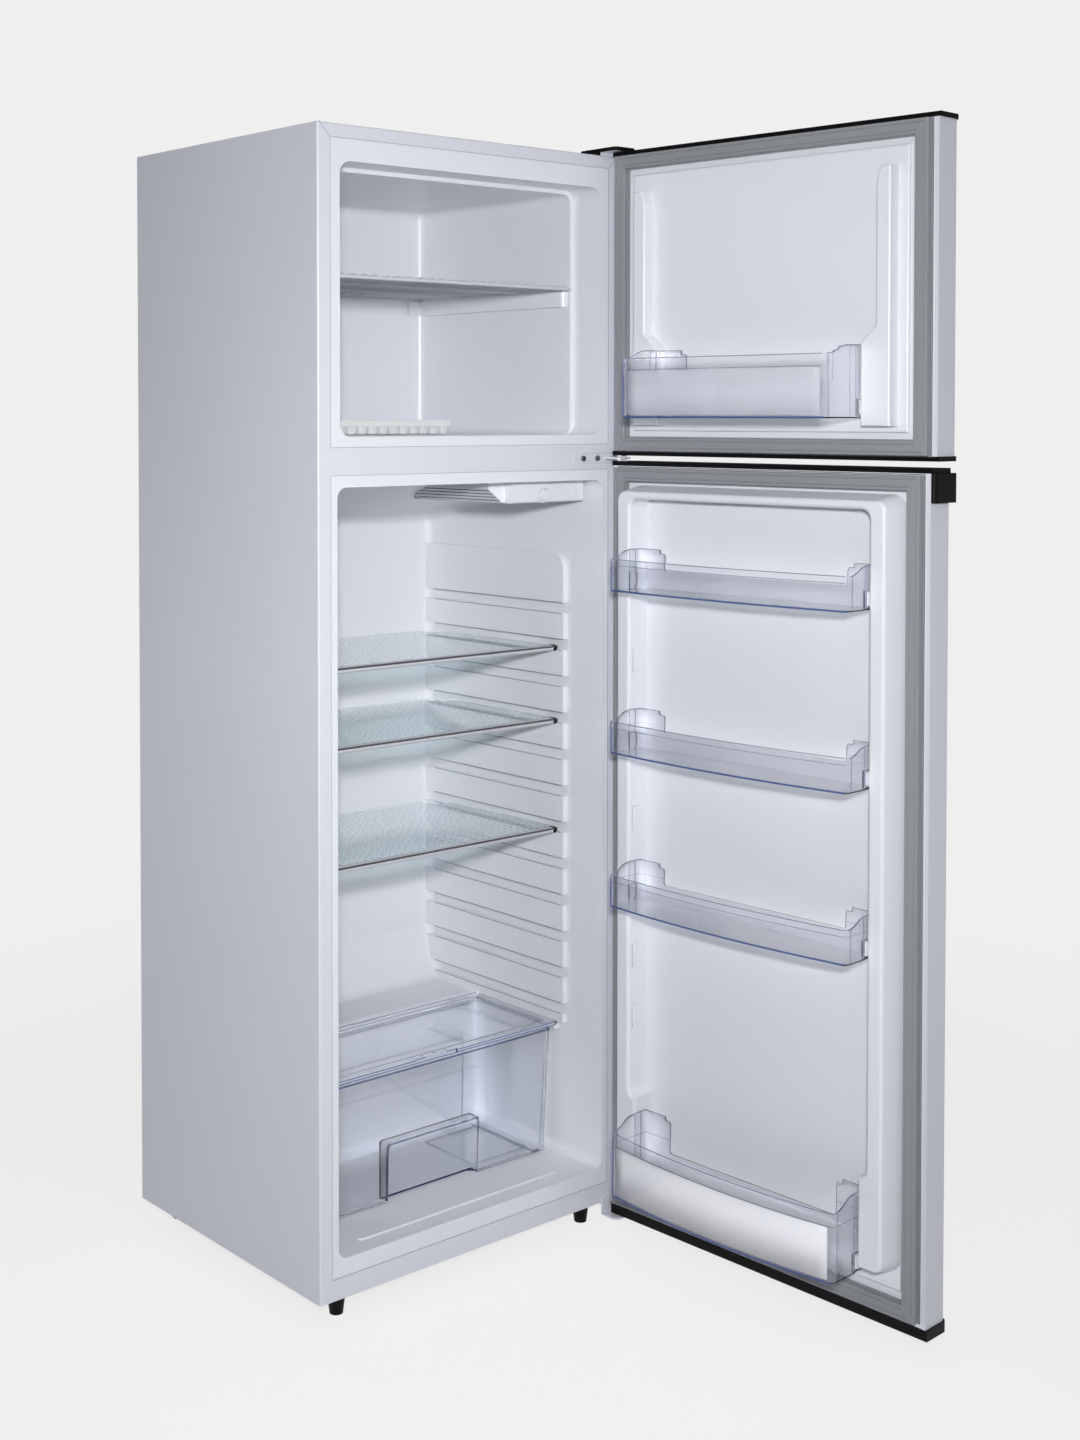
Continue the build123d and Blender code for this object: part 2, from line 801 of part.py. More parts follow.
def thermostat():
    low = housing_front + housing_wall + 4.5
    body = block((knob_x - 22, knob_x + 22), (low, low + 30), (housing_low + housing_wall, fridge_ceiling))
    body -= rod(knob_shaft + pin_clearance, (knob_x, low - 1, knob_z), (knob_x, low + 9, knob_z))
    return body & fridge_volume(0)


def thermostat_knob():
    face = housing_front - knob_thickness + 2.7
    dial = rod(knob_radius, (knob_x, face, knob_z), (knob_x, housing_front + 2.7, knob_z))
    dial = fillet(dial.edges().group_by(Axis.Y)[0], 1.0)
    for number in range(12):
        angle = math.radians(30 * number)
        x, z = knob_x + knob_radius * math.cos(angle), knob_z + knob_radius * math.sin(angle)
        dial -= rod(0.8, (x, face - 1, z), (x, housing_front + 3, z))
    return dial + rod(knob_shaft, (knob_x, housing_front + 2, knob_z), (knob_x, housing_front + 14, knob_z))


def door_switch():
    button = block((switch_x - switch_width / 2, switch_x + switch_width / 2),
                   (housing_front - switch_proud, housing_front + 10),
                   (switch_z - switch_height / 2, switch_z + switch_height / 2))
    return fillet(button.edges().group_by(Axis.Y)[0], 0.8)


# Freezer fittings

def wire_shelf():
    level = freezer_floor + ledge_level + rest_gap
    bar_z = level + shelf_bar / 2
    wire_z = level + shelf_bar + shelf_wire / 2 - 0.3
    front, rear = wire_shelf_front, freezer_back - wire_shelf_back_gap - shelf_bar
    reach = freezer_half - wire_shelf_side
    bars = [rod(shelf_bar / 2, (-reach, y, bar_z), (reach, y, bar_z))
            for y in (front, front + (rear - front) / 3, front + (rear - front) * 2 / 3, rear)]
    count = int(reach / wire_pitch - 0.2)
    wires = [rod(shelf_wire / 2, (number * wire_pitch, front - 1, wire_z), (number * wire_pitch, rear + 1, wire_z))
             for number in range(-count, count + 1)]
    return bars[0].fuse(*bars[1:], *wires)


def ice_tray():
    low = freezer_floor + rest_gap
    centre = Pos(tray_centre, tray_front + tray_width / 2, low)
    shape = RectangleRounded(tray_length - 8, tray_width - 8, 6)
    body = centre * extrude(shape, tray_height - 2, taper=-6)
    rim = centre * Pos(0, 0, tray_height - 2) * extrude(RectangleRounded(tray_length, tray_width, 8), 2)
    tray = body + rim
    cell_x = (tray_length - 12) / tray_cells
    cell_y = (tray_width - 12) / tray_rows
    pocket = extrude(RectangleRounded(cell_x - tray_wall, cell_y - tray_wall, 3), -(tray_height - tray_wall), taper=8)
    for column in range(tray_cells):
        for row in range(tray_rows):
            x = (column - (tray_cells - 1) / 2) * cell_x
            y = (row - (tray_rows - 1) / 2) * cell_y
            tray -= centre * Pos(x, y, tray_height) * pocket
    return tray


# Refrigerator fittings

def shelf_level(number):
    return groove_levels()[number] - groove_height + rest_gap


def glass_shelf(number):
    low = shelf_level(number)
    reach = rib_face + glass_groove_entry
    inner = rib_face - glass_rear_notch + glass_groove_entry
    plate = block((-reach, reach), (glass_front, glass_back), (low, low + glass_thickness))
    notch = block((inner, reach + 1), (glass_back - glass_rear_notch, glass_back + 1), (low - 1, low + 10))
    notch = fillet(notch.edges().filter_by(Axis.Z).group_by(Axis.X)[0].sort_by(Axis.Y)[0], 12)
    for piece in both_sides(notch):
        plate -= piece
    return rounded_corners(plate, 4)


def rounded_corners(plate, radius):
    corners = plate.edges().filter_by(Axis.Z).group_by(Axis.Y)[0]
    return fillet(corners, radius)


def shelf_trim(number):
    low = shelf_level(number)
    reach = rib_face - 1.0
    middle = low + glass_thickness / 2
    outer = block((-reach, reach), (glass_front - trim_thickness, glass_front + trim_depth),
                  (middle - trim_height / 2, middle + trim_height / 2))
    outer = fillet(outer.edges().filter_by(Axis.X).group_by(Axis.Y)[0], 2.5)
    wide = rib_face + glass_groove_entry + 1
    slot = block((-wide, wide), (glass_front, glass_front + trim_depth + 1), (low, low + glass_thickness))
    return outer - slot


crisper_half = fridge_half - crisper_side
crisper_depth = hump_front - crisper_back_gap - crisper_front
crisper_middle = crisper_front + crisper_depth / 2
crisper_base = fridge_floor + rest_gap + crisper_runner_height
crisper_crown = fridge_floor + crisper_height
cover_reach = fridge_half - cover_side


def crisper_prism(wall, low, high):
    top_plane = Plane((0, crisper_middle, crisper_crown))
    shape = RectangleRounded(2 * (crisper_half - wall), crisper_depth - 2 * wall, crisper_corner - wall)
    solid = extrude(top_plane * shape, crisper_base - crisper_crown, taper=crisper_draft)
    solid &= block((-half, half), (0, cabinet_depth), (low, high))
    step = block((-half, half), (crisper_front + crisper_depth - crisper_step_depth - wall, cabinet_depth),
                 (0, fridge_floor + crisper_step_height + wall))
    solid -= fillet(step.edges().filter_by(Axis.X).group_by(Axis.Y)[0].sort_by(Axis.Z)[-1], 4)
    return fillet(solid.faces().sort_by(Axis.Z)[0].edges(), crisper_bottom_edge - wall)


def crisper_recess(wall):
    reach = crisper_grip_width / 2 + wall
    recess = block((-reach, reach), (crisper_front - 10, crisper_front + crisper_grip_depth + wall),
                   (crisper_base - 1, crisper_base + crisper_grip_height + wall))
    return fillet(recess.edges().filter_by(Axis.Y).group_by(Axis.Z)[-1], 5)


def crisper_drawer():
    wall = crisper_wall
    outer = crisper_prism(0, crisper_base, crisper_crown) - crisper_recess(0)
    inner = crisper_prism(wall, crisper_base + wall, crisper_crown + 1) - crisper_recess(wall)
    rim_shape = RectangleRounded(2 * crisper_half + 6, crisper_depth, crisper_corner)
    rim_hole = RectangleRounded(2 * (crisper_half - wall), crisper_depth - 2 * wall, crisper_corner - wall)
    rim = extrude(Plane((0, crisper_middle, crisper_crown)) * (rim_shape - rim_hole), -3)
    drawer = outer - inner + rim
    runner_out = crisper_half - crisper_runner_inset + crisper_runner_width
    runner = block((runner_out - crisper_runner_width, runner_out),
                   (crisper_front + crisper_corner, crisper_front + crisper_depth - crisper_step_depth - 6),
                   (fridge_floor + rest_gap, crisper_base + 0.5))
    for piece in both_sides(runner):
        drawer += piece
    return drawer


def crisper_cover():
    low = rib_bottom - cover_thickness + rest_gap
    high = low + cover_thickness - rest_gap
    reach = cover_reach
    front, rear = crisper_front - 4, hump_front - rest_gap
    plate = block((-reach, reach), (front, rear), (low, high))
    plate = rounded_corners(plate, 6)
    pan = block((-reach + cover_rim, reach - cover_rim), (front + cover_rim, rear - cover_rim),
                (low + 2.5, high + 1))
    plate -= rounded(pan, Axis.Z, 8)
    notch = block((-cover_notch / 2, cover_notch / 2), (front - 1, front + 4), (low - 1, high + 1))
    return plate - fillet(notch.edges().filter_by(Axis.Z).group_by(Axis.Y)[-1], 3.5)


# Doors, drawn closed

def door_block(inset, inner_plane, low, high):
    solid = block((-half + inset, half - inset), (door_outer + inset, inner_plane), (low, high))
    corners = solid.edges().filter_by(Axis.Z).group_by(Axis.Y)[0]
    return fillet(corners, door_edge - inset)


def door_skin_piece(low, high):
    skin = door_block(0, -door_gap, low, high)
    skin -= door_block(door_skin, liner_plane, low - 1, high + 1)
    between = half - door_return
    return skin - block((-between, between), (liner_plane - 1, 0), (low - 1, high + 1))


def door_cap(low, high, boss_up):
    plate = door_block(-cap_proud, -door_gap, low, high)
    if boss_up:
        boss = rod(boss_radius, (pin_x, pin_y, high), (pin_x, pin_y, high + pin_depth))
        bore = (low - 1, low + pin_depth + rest_gap)
    else:
        boss = rod(boss_radius, (pin_x, pin_y, low - pin_depth), (pin_x, pin_y, low))
        bore = (high - pin_depth - rest_gap, high + 1)
    return plate + boss - rod(pin_radius + pin_clearance, (pin_x, pin_y, bore[0]), (pin_x, pin_y, bore[1]))


def boss_pockets(low, high):
    return [rod(boss_radius, (pin_x, pin_y, low), (pin_x, pin_y, low + pin_depth)),
            rod(boss_radius, (pin_x, pin_y, high - pin_depth), (pin_x, pin_y, high))]


def door_foam(low, high, form):
    foam = door_block(door_skin, liner_plane - door_liner_wall, low, high) + form
    for pocket in boss_pockets(low, high):
        foam -= pocket
    return foam


def door_sheet(low, high):
    edge = half - door_skin
    return block((-edge, edge), (liner_plane - door_liner_wall, liner_plane), (low, high))


def gasket(low, high):
    outer = half - gasket_outer_inset
    inner = outer - gasket_band
    start = liner_plane
    pieces = []
    depth = door_gap + door_skin - gasket_clearance
    steps = [(0.0, 3.0, 0.0, 0.0), (3.0, 6.0, 4.0, 1.5), (6.0, depth, 0.0, 3.0)]
    for begin, end, out_inset, in_inset in steps:
        out_x, in_x = outer - out_inset, inner + in_inset
        margin = gasket_band - out_inset - in_inset
        frame = block((-out_x, out_x), (start + begin, start + end), (low + out_inset, high - out_inset))
        frame -= block((-in_x, in_x), (start + begin - 1, start + end + 1),
                       (low + out_inset + margin, high - out_inset - margin))
        pieces.append(frame)
    return pieces[0] + pieces[1] + pieces[2]


# Freezer door

freezer_skin = (freezer_door_low + cap_height, freezer_door_high - cap_height)
freezer_gasket = (freezer_door_low + 7.3, freezer_door_high - freezer_gasket_margin)


pillar_low = half - pillar_side - pillar_low_width


def freezer_pillars(shrink):
    low = freezer_door_low + pillar_bottom_margin + shrink
    high = freezer_door_high - pillar_top_margin - shrink
    kink = freezer_door_low + pillar_kink
    outer = half - pillar_side - shrink
    upper = half - pillar_side - pillar_width + shrink
    lower = pillar_low + shrink
    points = [(outer, low), (outer, high), (upper + 6, high), (upper, high - 18), (upper, kink),
              (lower, kink - 22), (lower, low)]
    face = Plane.XZ * make_face(Polyline(*points, close=True))
    pillar = extrude(face, -(pillar_height + door_liner_wall - shrink))
    if not shrink:
        pillar = fillet(pillar.edges().group_by(Axis.Y)[-1], 3)
    pillar = Pos(0, liner_plane - door_liner_wall, 0) * pillar
    return both_sides(pillar)


def freezer_door_liner():
    sheet = door_sheet(*freezer_skin)
    for pillar in freezer_pillars(0):
        sheet += pillar
    sheet += liner_step(freezer_gasket[0] + gasket_band + 7, freezer_gasket[1] - gasket_band - 7,
                        half - freezer_step_inset, freezer_step_height)
    for pillar in freezer_pillars(door_liner_wall):
        sheet -= pillar
    for lug in bin_lugs(freezer_bin):
        sheet += lug
    return sheet


def freezer_door_foam():
    left, right = freezer_pillars(door_liner_wall)
    return door_foam(freezer_skin[0], freezer_skin[1], left + right)


# Refrigerator door

fridge_skin = (fridge_door_low + cap_height + 8, fridge_door_high - cap_height)
fridge_gasket = (fridge_door_low + fridge_gasket_bottom, fridge_door_high - fridge_gasket_margin)


dyke_edge = half - gasket_outer_inset - gasket_band - dyke_gasket_gap


def fridge_dyke(shrink):
    low = fridge_floor + dyke_floor_gap + shrink
    high = fridge_gasket[1] - gasket_band - dyke_gasket_gap - shrink
    outer = dyke_edge - shrink
    height = dyke_height + door_liner_wall - shrink
    base = liner_plane - door_liner_wall
    middle = (low + high) / 2
    plane = Plane((0, base, middle), x_dir=(1, 0, 0), z_dir=(0, 1, 0))
    arch = extrude(plane * RectangleRounded(2 * outer, high - low, 22 - shrink), height, taper=dyke_draft)
    side = dyke_edge - dyke_width + shrink
    split = low + dyke_low_height - 2 * shrink
    arch -= rounded(block((-side, side), (base - 1, base + height + 1),
                          (split, high + 2 * shrink - dyke_top_width)), Axis.Y, 14)
    low_side = dyke_edge - dyke_low_width + shrink
    arch -= rounded(block((-low_side, low_side), (base - 1, base + height + 1), (low - 40, split + 30)), Axis.Y, 14)
    return arch


def rounded_dyke():
    arch = fridge_dyke(0)
    return fillet(arch.faces().sort_by(Axis.Y)[-1].edges(), dyke_crest)


def liner_step(low, high, reach, height):
    step = block((-reach, reach), (liner_plane, liner_plane + height), (low, high))
    return fillet(step.edges().group_by(Axis.Y)[-1], 3)


def fridge_door_liner():
    step = liner_step(fridge_gasket[0] + gasket_band + fridge_step_margin, fridge_floor + dyke_floor_gap + 40,
                      dyke_edge - 2, fridge_step_height)
    sheet = door_sheet(*fridge_skin) + step + rounded_dyke() - fridge_dyke(door_liner_wall)
    for tray in fridge_bins + [bottle_bin]:
        for lug in bin_lugs(tray):
            sheet += lug
    return sheet


def fridge_door_foam():
    return door_foam(fridge_skin[0], fridge_skin[1], fridge_dyke(door_liner_wall))


def fridge_door_grip():
    low, high = fridge_door_high - 45.5, fridge_door_high - cap_height
    grip = block((-half - 6, -half + 30), (door_outer - 8, -door_gap - 1), (low, high))
    grip = fillet(grip.edges().filter_by(Axis.Z).group_by(Axis.X)[0], 5)
    return grip - door_block(0, -door_gap + 2, low - 1, high + 1)


# Door bins: half width, depth at the ends, bow, level, front height, end height, lug place, lug width

bin_half = dyke_edge - dyke_width
bottle_half = dyke_edge - dyke_low_width
fridge_bins = [(bin_half, bin_depth, bin_bow, fridge_floor + share * fridge_height,
                bin_front_height, bin_end_height, lug_back, lug_width) for share in bin_shares]
bottle_bin = (bottle_half, bottle_bin_depth, bottle_bin_bow, fridge_floor + bottle_bin_rise,
              bottle_bin_front_height, bottle_bin_end_height, lug_back, lug_width)
freezer_bin = (pillar_low, freezer_bin_depth, 1.5, freezer_door_low + freezer_bin_rise,
               freezer_bin_front_height, freezer_bin_end_height, bin_back + bin_wall + 1, 5.0)


def bin_solid(tray, wall, low, high):
    half_width, depth, bow = tray[0] - rest_gap - wall, tray[1] - wall, tray[2]
    back = bin_back + wall
    outline = Polyline((-half_width, depth), (-half_width, back), (half_width, back), (half_width, depth))
    front = ThreePointArc((half_width, depth), (0, depth + bow), (-half_width, depth))
    face = make_face(outline + front)
    solid = extrude(Pos(0, 0, low) * face, high - low)
    corners = solid.edges().filter_by(Axis.Z).group_by(Axis.Y)[-1]
    return fillet(corners, bin_corner - wall)


def lug_space(tray, sign, extra):
    half_width, level, back, width = tray[0], tray[3], tray[6], tray[7]
    outer = half_width + 0.5 if extra else half_width
    inner = half_width - lug_proud - extra
    x = (inner, outer) if sign > 0 else (-outer, -inner)
    base = level - 1 if extra else level + lug_height * 0.25
    return block(x, (back - extra, back + width + extra), (base, level + lug_height + extra))


def bin_lugs(tray):
    lugs = [lug_space(tray, sign, 0) for sign in (-1, 1)]
    return [fillet(lug.edges().filter_by(Axis.X), 2) for lug in lugs]


def above_rim(tray):
    depth, bow, level, low, high = tray[1], tray[2], tray[3], tray[4], tray[5]
    start, end = depth * bin_ear_share, depth - bin_corner / 2
    run = (end - start) / 2
    rise = Bezier((start, level + high), (start + run, level + high), (end - run, level + low), (end, level + low))
    front = depth + bow + 5
    rest = Polyline((end, level + low), (front, level + low), (front, level + high + 5),
                    (start, level + high + 5), (start, level + high))
    return extrude(Plane.YZ * make_face(rise + rest), half, both=True)


def above_back(tray):
    level, low, high = tray[3], tray[3] + tray[4] * 0.6, tray[3] + tray[5]
    ear, crown = tray[0] - bin_ear_width, tray[0] - bin_ear_crown
    shoulder = high - bin_ear_drop
    points = [(-crown, high + 5), (-crown, shoulder), (-ear, shoulder), (-ear, low),
              (ear, low), (ear, shoulder), (crown, shoulder), (crown, high + 5)]
    face = make_face(Polyline(*points, close=True))
    face = fillet([v for v in face.vertices() if v.Y < high + 1], 4)
    back = bin_back + bin_wall + 1
    return Pos(0, back, 0) * extrude(Plane.XZ * face, back + 5)


def bin_piece(tray):
    level, front_height, end_height = tray[3:6]
    high = level + end_height
    band = level + front_height * (1 - bin_rim_share)
    lower = bin_solid(tray, bin_rim_step, level, band)
    outer = fillet(lower.faces().sort_by(Axis.Z)[0].edges(), bin_bottom_edge) + bin_solid(tray, 0, band, high)
    wall = bin_wall + bin_rim_step
    inner = bin_solid(tray, wall, level + bin_floor, band) + bin_solid(tray, bin_wall, band, high + 1)
    for sign in (-1, 1):
        outer -= lug_space(tray, sign, rest_gap)
        inner -= lug_space(tray, sign, rest_gap + bin_wall)
    return outer - inner - above_rim(tray) - above_back(tray)


# Assembly

def add(name, solid, door=None):
    if door:
        axis = Axis((pin_x, pin_y, 0), (0, 0, 1))
        solid = solid.rotate(axis, door)
    parts[name] = solid


add("outer_shell", outer_shell())
add("back_panel", back_panel())
add("base_pan", base_pan())
add("mullion_rail", mullion_rail())
add("bottom_rail", bottom_rail())
add("freezer_liner", freezer_liner())
add("fridge_liner", fridge_liner())
add("niche_plate", niche_plate())
add("foam_insulation", foam_insulation())
add("top_hinge", top_hinge())
add("top_hinge_cover", top_hinge_cover())
add("middle_hinge", middle_hinge())
add("bottom_hinge", bottom_hinge())
add("hinge_screws", hinge_screws())
add("left_foot", foot(-foot_x))
add("right_foot", foot(foot_x))
add("left_roller", roller(-roller_x))
add("right_roller", roller(roller_x))
add("roller_brackets", Compound([roller_bracket(-roller_x), roller_bracket(roller_x)]))
add("compressor", compressor())
add("compressor_mounts", compressor_mounts())
add("relay_box", relay_box())
add("drip_tray", drip_tray())
add("filter_drier", filter_drier())
add("refrigerant_tubes", refrigerant_tubes())
add("thermostat_housing", thermostat_housing())
add("thermostat", thermostat())
add("thermostat_knob", thermostat_knob())
add("door_switch", door_switch())
add("lamp_cover", lamp_cover())
add("lamp_bulb", lamp_bulb())
add("wire_shelf", wire_shelf())
add("ice_tray", ice_tray())
for name, number in zip(("upper", "middle", "lower"), glass_grooves):
    add(f"{name}_glass_shelf", glass_shelf(number))
    add(f"{name}_shelf_trim", shelf_trim(number))
add("crisper_drawer", crisper_drawer())
add("crisper_cover", crisper_cover())

add("freezer_door_skin", door_skin_piece(*freezer_skin), freezer_door_angle)
add("freezer_door_foam", freezer_door_foam(), freezer_door_angle)
add("freezer_door_liner", freezer_door_liner(), freezer_door_angle)
add("freezer_door_gasket", gasket(*freezer_gasket), freezer_door_angle)
add("freezer_door_top_cap", door_cap(freezer_skin[1], freezer_door_high, False), freezer_door_angle)
add("freezer_door_bottom_cap", door_cap(freezer_door_low, freezer_skin[0], True), freezer_door_angle)
add("freezer_door_bin", bin_piece(freezer_bin), freezer_door_angle)

add("fridge_door_skin", door_skin_piece(*fridge_skin), fridge_door_angle)
add("fridge_door_foam", fridge_door_foam(), fridge_door_angle)
add("fridge_door_liner", fridge_door_liner(), fridge_door_angle)
add("fridge_door_gasket", gasket(*fridge_gasket), fridge_door_angle)
add("fridge_door_top_cap", door_cap(fridge_skin[1], fridge_door_high, False), fridge_door_angle)
add("fridge_door_bottom_cap", door_cap(fridge_door_low, fridge_skin[0], True), fridge_door_angle)
add("fridge_door_grip", fridge_door_grip(), fridge_door_angle)
for name, tray in zip(("upper", "middle", "lower"), fridge_bins):
    add(f"{name}_door_bin", bin_piece(tray), fridge_door_angle)
add("bottle_bin", bin_piece(bottle_bin), fridge_door_angle)

# The origin is the centre of the footprint at rest, on the floor
whole = Compound(list(parts.values())).bounding_box()
to_origin = Pos(-(whole.min.X + whole.max.X) / 2, -(whole.min.Y + whole.max.Y) / 2, -whole.min.Z)
print("shift", to_origin.position)

os.makedirs("parts", exist_ok=True)
for name, piece in parts.items():
    export_step(to_origin * piece, f"parts/{name}.step")
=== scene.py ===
import bpy
import math
from mathutils import Matrix, Vector


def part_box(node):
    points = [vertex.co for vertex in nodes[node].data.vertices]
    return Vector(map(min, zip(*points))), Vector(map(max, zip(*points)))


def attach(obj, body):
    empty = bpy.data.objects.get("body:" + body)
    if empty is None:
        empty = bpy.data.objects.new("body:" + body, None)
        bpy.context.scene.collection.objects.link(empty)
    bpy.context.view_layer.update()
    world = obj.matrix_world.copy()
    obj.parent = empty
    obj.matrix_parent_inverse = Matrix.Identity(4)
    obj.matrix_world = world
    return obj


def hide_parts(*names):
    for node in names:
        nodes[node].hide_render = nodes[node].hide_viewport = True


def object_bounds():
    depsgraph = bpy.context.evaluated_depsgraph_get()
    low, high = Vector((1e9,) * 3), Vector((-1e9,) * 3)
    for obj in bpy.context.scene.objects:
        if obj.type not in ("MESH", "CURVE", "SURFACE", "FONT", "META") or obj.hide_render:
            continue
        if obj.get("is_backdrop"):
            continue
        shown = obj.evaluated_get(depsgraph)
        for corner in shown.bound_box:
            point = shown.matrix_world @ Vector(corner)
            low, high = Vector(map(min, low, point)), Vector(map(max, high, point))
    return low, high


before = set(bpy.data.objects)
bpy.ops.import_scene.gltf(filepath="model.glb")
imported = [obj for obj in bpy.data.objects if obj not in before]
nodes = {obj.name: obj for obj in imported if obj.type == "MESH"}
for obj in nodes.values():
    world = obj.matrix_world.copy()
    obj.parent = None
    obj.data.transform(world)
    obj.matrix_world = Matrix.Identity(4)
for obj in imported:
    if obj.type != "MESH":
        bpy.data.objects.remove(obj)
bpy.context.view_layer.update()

# The cabinet's front face and centre plane are what everything else is placed from
shellLow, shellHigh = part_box("outer_shell")
cabinet = {"centreX": (shellLow.x + shellHigh.x) / 2, "frontY": shellLow.y}


def place(x, y, z):
    # metres right of the centre plane, behind the front face and above the floor
    return Vector((cabinet["centreX"] + x, cabinet["frontY"] + y, z))


def srgb(code):
    channels = [int(code[i:i + 2], 16) / 255 for i in (1, 3, 5)]
    return tuple(c / 12.92 if c <= 0.04045 else ((c + 0.055) / 1.055) ** 2.4 for c in channels) + (1.0,)


def addNode(material, kind, settings=None, inputs=None):
    # settings are the node's own options; an input is a value, or another node's output to link from
    node = material.node_tree.nodes.new(kind)
    for name, value in (settings or {}).items():
        setattr(node, name, value)
    for name, value in (inputs or {}).items():
        if isinstance(value, bpy.types.NodeSocket):
            material.node_tree.links.new(value, node.inputs[name])
        else:
            node.inputs[name].default_value = value
    return node


def calculate(material, operation, first, second):
    return addNode(material, "ShaderNodeMath", {"operation": operation}, {0: first, 1: second}).outputs[0]


def mixShaders(material, share, first, second):
    return addNode(material, "ShaderNodeMixShader", inputs={0: share, 1: first, 2: second}).outputs[0]


def mixColours(material, share, first, second):
    return addNode(material, "ShaderNodeMix", {"data_type": "RGBA"},
                   {0: share, 6: srgb(first), 7: srgb(second)}).outputs[2]


def noise(material, coords, scale, detail=2.0):
    return addNode(material, "ShaderNodeTexNoise",
                   inputs={"Vector": coords, "Scale": scale, "Detail": detail}).outputs["Fac"]


def addBump(material, height, strength, distance):
    return addNode(material, "ShaderNodeBump",
                   inputs={"Height": height, "Strength": strength, "Distance": distance}).outputs[0]


def objectCoords(material):
    return addNode(material, "ShaderNodeTexCoord").outputs["Object"]


def seenDirectly(material, glossShare):
    # how much of a ray comes from the camera, through clear plastic or off a gloss. Once light has left a
    # matt surface it no longer counts, so clear plastic doesn't glow on what is behind it
    path = addNode(material, "ShaderNodeLightPath").outputs
    seen = calculate(material, "MAXIMUM", path["Is Camera Ray"], path["Is Transmission Ray"])
    gloss = calculate(material, "MULTIPLY", path["Is Glossy Ray"], glossShare)
    seen = calculate(material, "MAXIMUM", seen, gloss)
    fresh = calculate(material, "LESS_THAN", path["Diffuse Depth"], 0.5)
    return calculate(material, "MULTIPLY", seen, fresh)


def paleShadow(material, shader, shadowTint):
    # rays on their way to a lamp pass with only a tint, so a clear piece casts a pale shadow
    path = addNode(material, "ShaderNodeLightPath").outputs
    shade = addNode(material, "ShaderNodeBsdfTransparent", inputs={"Color": srgb(shadowTint)})
    return mixShaders(material, path["Is Shadow Ray"], shader, shade.outputs[0])


def newMaterial(name):
    material = bpy.data.materials.new(name)
    material.use_nodes = True
    material.node_tree.nodes.clear()
    return material


def finishMaterial(material, shader, volume=None):
    output = addNode(material, "ShaderNodeOutputMaterial", inputs={"Surface": shader})
    if volume:
        material.node_tree.links.new(volume, output.inputs["Volume"])
    return material


def deselectAll():
    if bpy.context.object and bpy.context.object.mode != "OBJECT":
        bpy.ops.object.mode_set(mode="OBJECT")
    bpy.ops.object.select_all(action="DESELECT")


# Camera: a little above chest height, left of the open doors, with its lens shifted so uprights stay upright
view = {"right": -1.7546, "back": -2.0787, "height": 1.2419, "turn": 40.343, "tilt": 1.631,
        "lens": 47.46, "sensor": 36, "shiftX": 0.0390, "shiftY": -0.1746}
cameraData = bpy.data.cameras.new("camera")
cameraData.lens = view["lens"]
cameraData.sensor_width = view["sensor"]
cameraData.shift_x, cameraData.shift_y = view["shiftX"], view["shiftY"]
camera = bpy.data.objects.new("camera", cameraData)
bpy.context.scene.collection.objects.link(camera)
camera.location = place(view["right"], view["back"], view["height"])
camera.rotation_euler = (math.radians(90 - view["tilt"]), 0, math.radians(-view["turn"]))
bpy.context.scene.camera = camera
bpy.context.scene.view_settings.view_transform = "Standard"
print("stage: camera set")

# Light: a small lamp just over the camera, a narrower beam from the same spot and a panel overhead
lamps = {"keyPower": 32, "keySize": 0.16, "keyLift": 0.25, "keyBack": 0.05, "target": (0, 0, 0.85),
         "beamPower": 4.7, "beamSpread": 70, "beamTarget": (-0.15, 0, 0.95),
         "topPower": 10, "topSize": 2.4, "topSpot": (-0.6, -1.2, 3.4),
         "roomColour": "#f3f5fa", "roomStrength": 0.21, "roomGloss": 0.15}


def addAreaLamp(name, spot, target, size, power):
    data = bpy.data.lights.new(name, "AREA")
    data.size, data.energy = size, power
    lamp = bpy.data.objects.new(name, data)
    bpy.context.scene.collection.objects.link(lamp)
    lamp.location = spot
    lamp.rotation_euler = (target - spot).to_track_quat("-Z", "Y").to_euler()
    return lamp


middle = place(*lamps["target"])
keySpot = place(view["right"], view["back"] - lamps["keyBack"], view["height"] + lamps["keyLift"])
addAreaLamp("keyLamp", keySpot, middle, lamps["keySize"], lamps["keyPower"])
beamLamp = addAreaLamp("beamLamp", keySpot, place(*lamps["beamTarget"]), lamps["keySize"], lamps["beamPower"])
beamLamp.data.spread = math.radians(lamps["beamSpread"])
addAreaLamp("topPanel", place(*lamps["topSpot"]), middle, lamps["topSize"], lamps["topPower"])

# Round it: a room that is dim to matt surfaces, and plain pale paper to the camera
paper = {"colour": "#efefef", "matt": "#e8e8ea", "half": 14.0, "shadowShare": 0.22, "lift": 1.14,
         "shadowEnd": 1.0, "plainFrom": 2.6}

world = bpy.data.worlds.new("studio")
bpy.context.scene.world = world
world.use_nodes = True
world.node_tree.nodes.clear()
roomGlow = addNode(world, "ShaderNodeBackground",
                   inputs={"Color": srgb(lamps["roomColour"]), "Strength": lamps["roomStrength"]})
paperGlow = addNode(world, "ShaderNodeBackground", inputs={"Color": srgb(paper["colour"]), "Strength": 1.0})
worldMix = mixShaders(world, seenDirectly(world, lamps["roomGloss"]), roomGlow.outputs[0],
                      paperGlow.outputs[0])
addNode(world, "ShaderNodeOutputWorld", inputs={"Surface": worldMix})


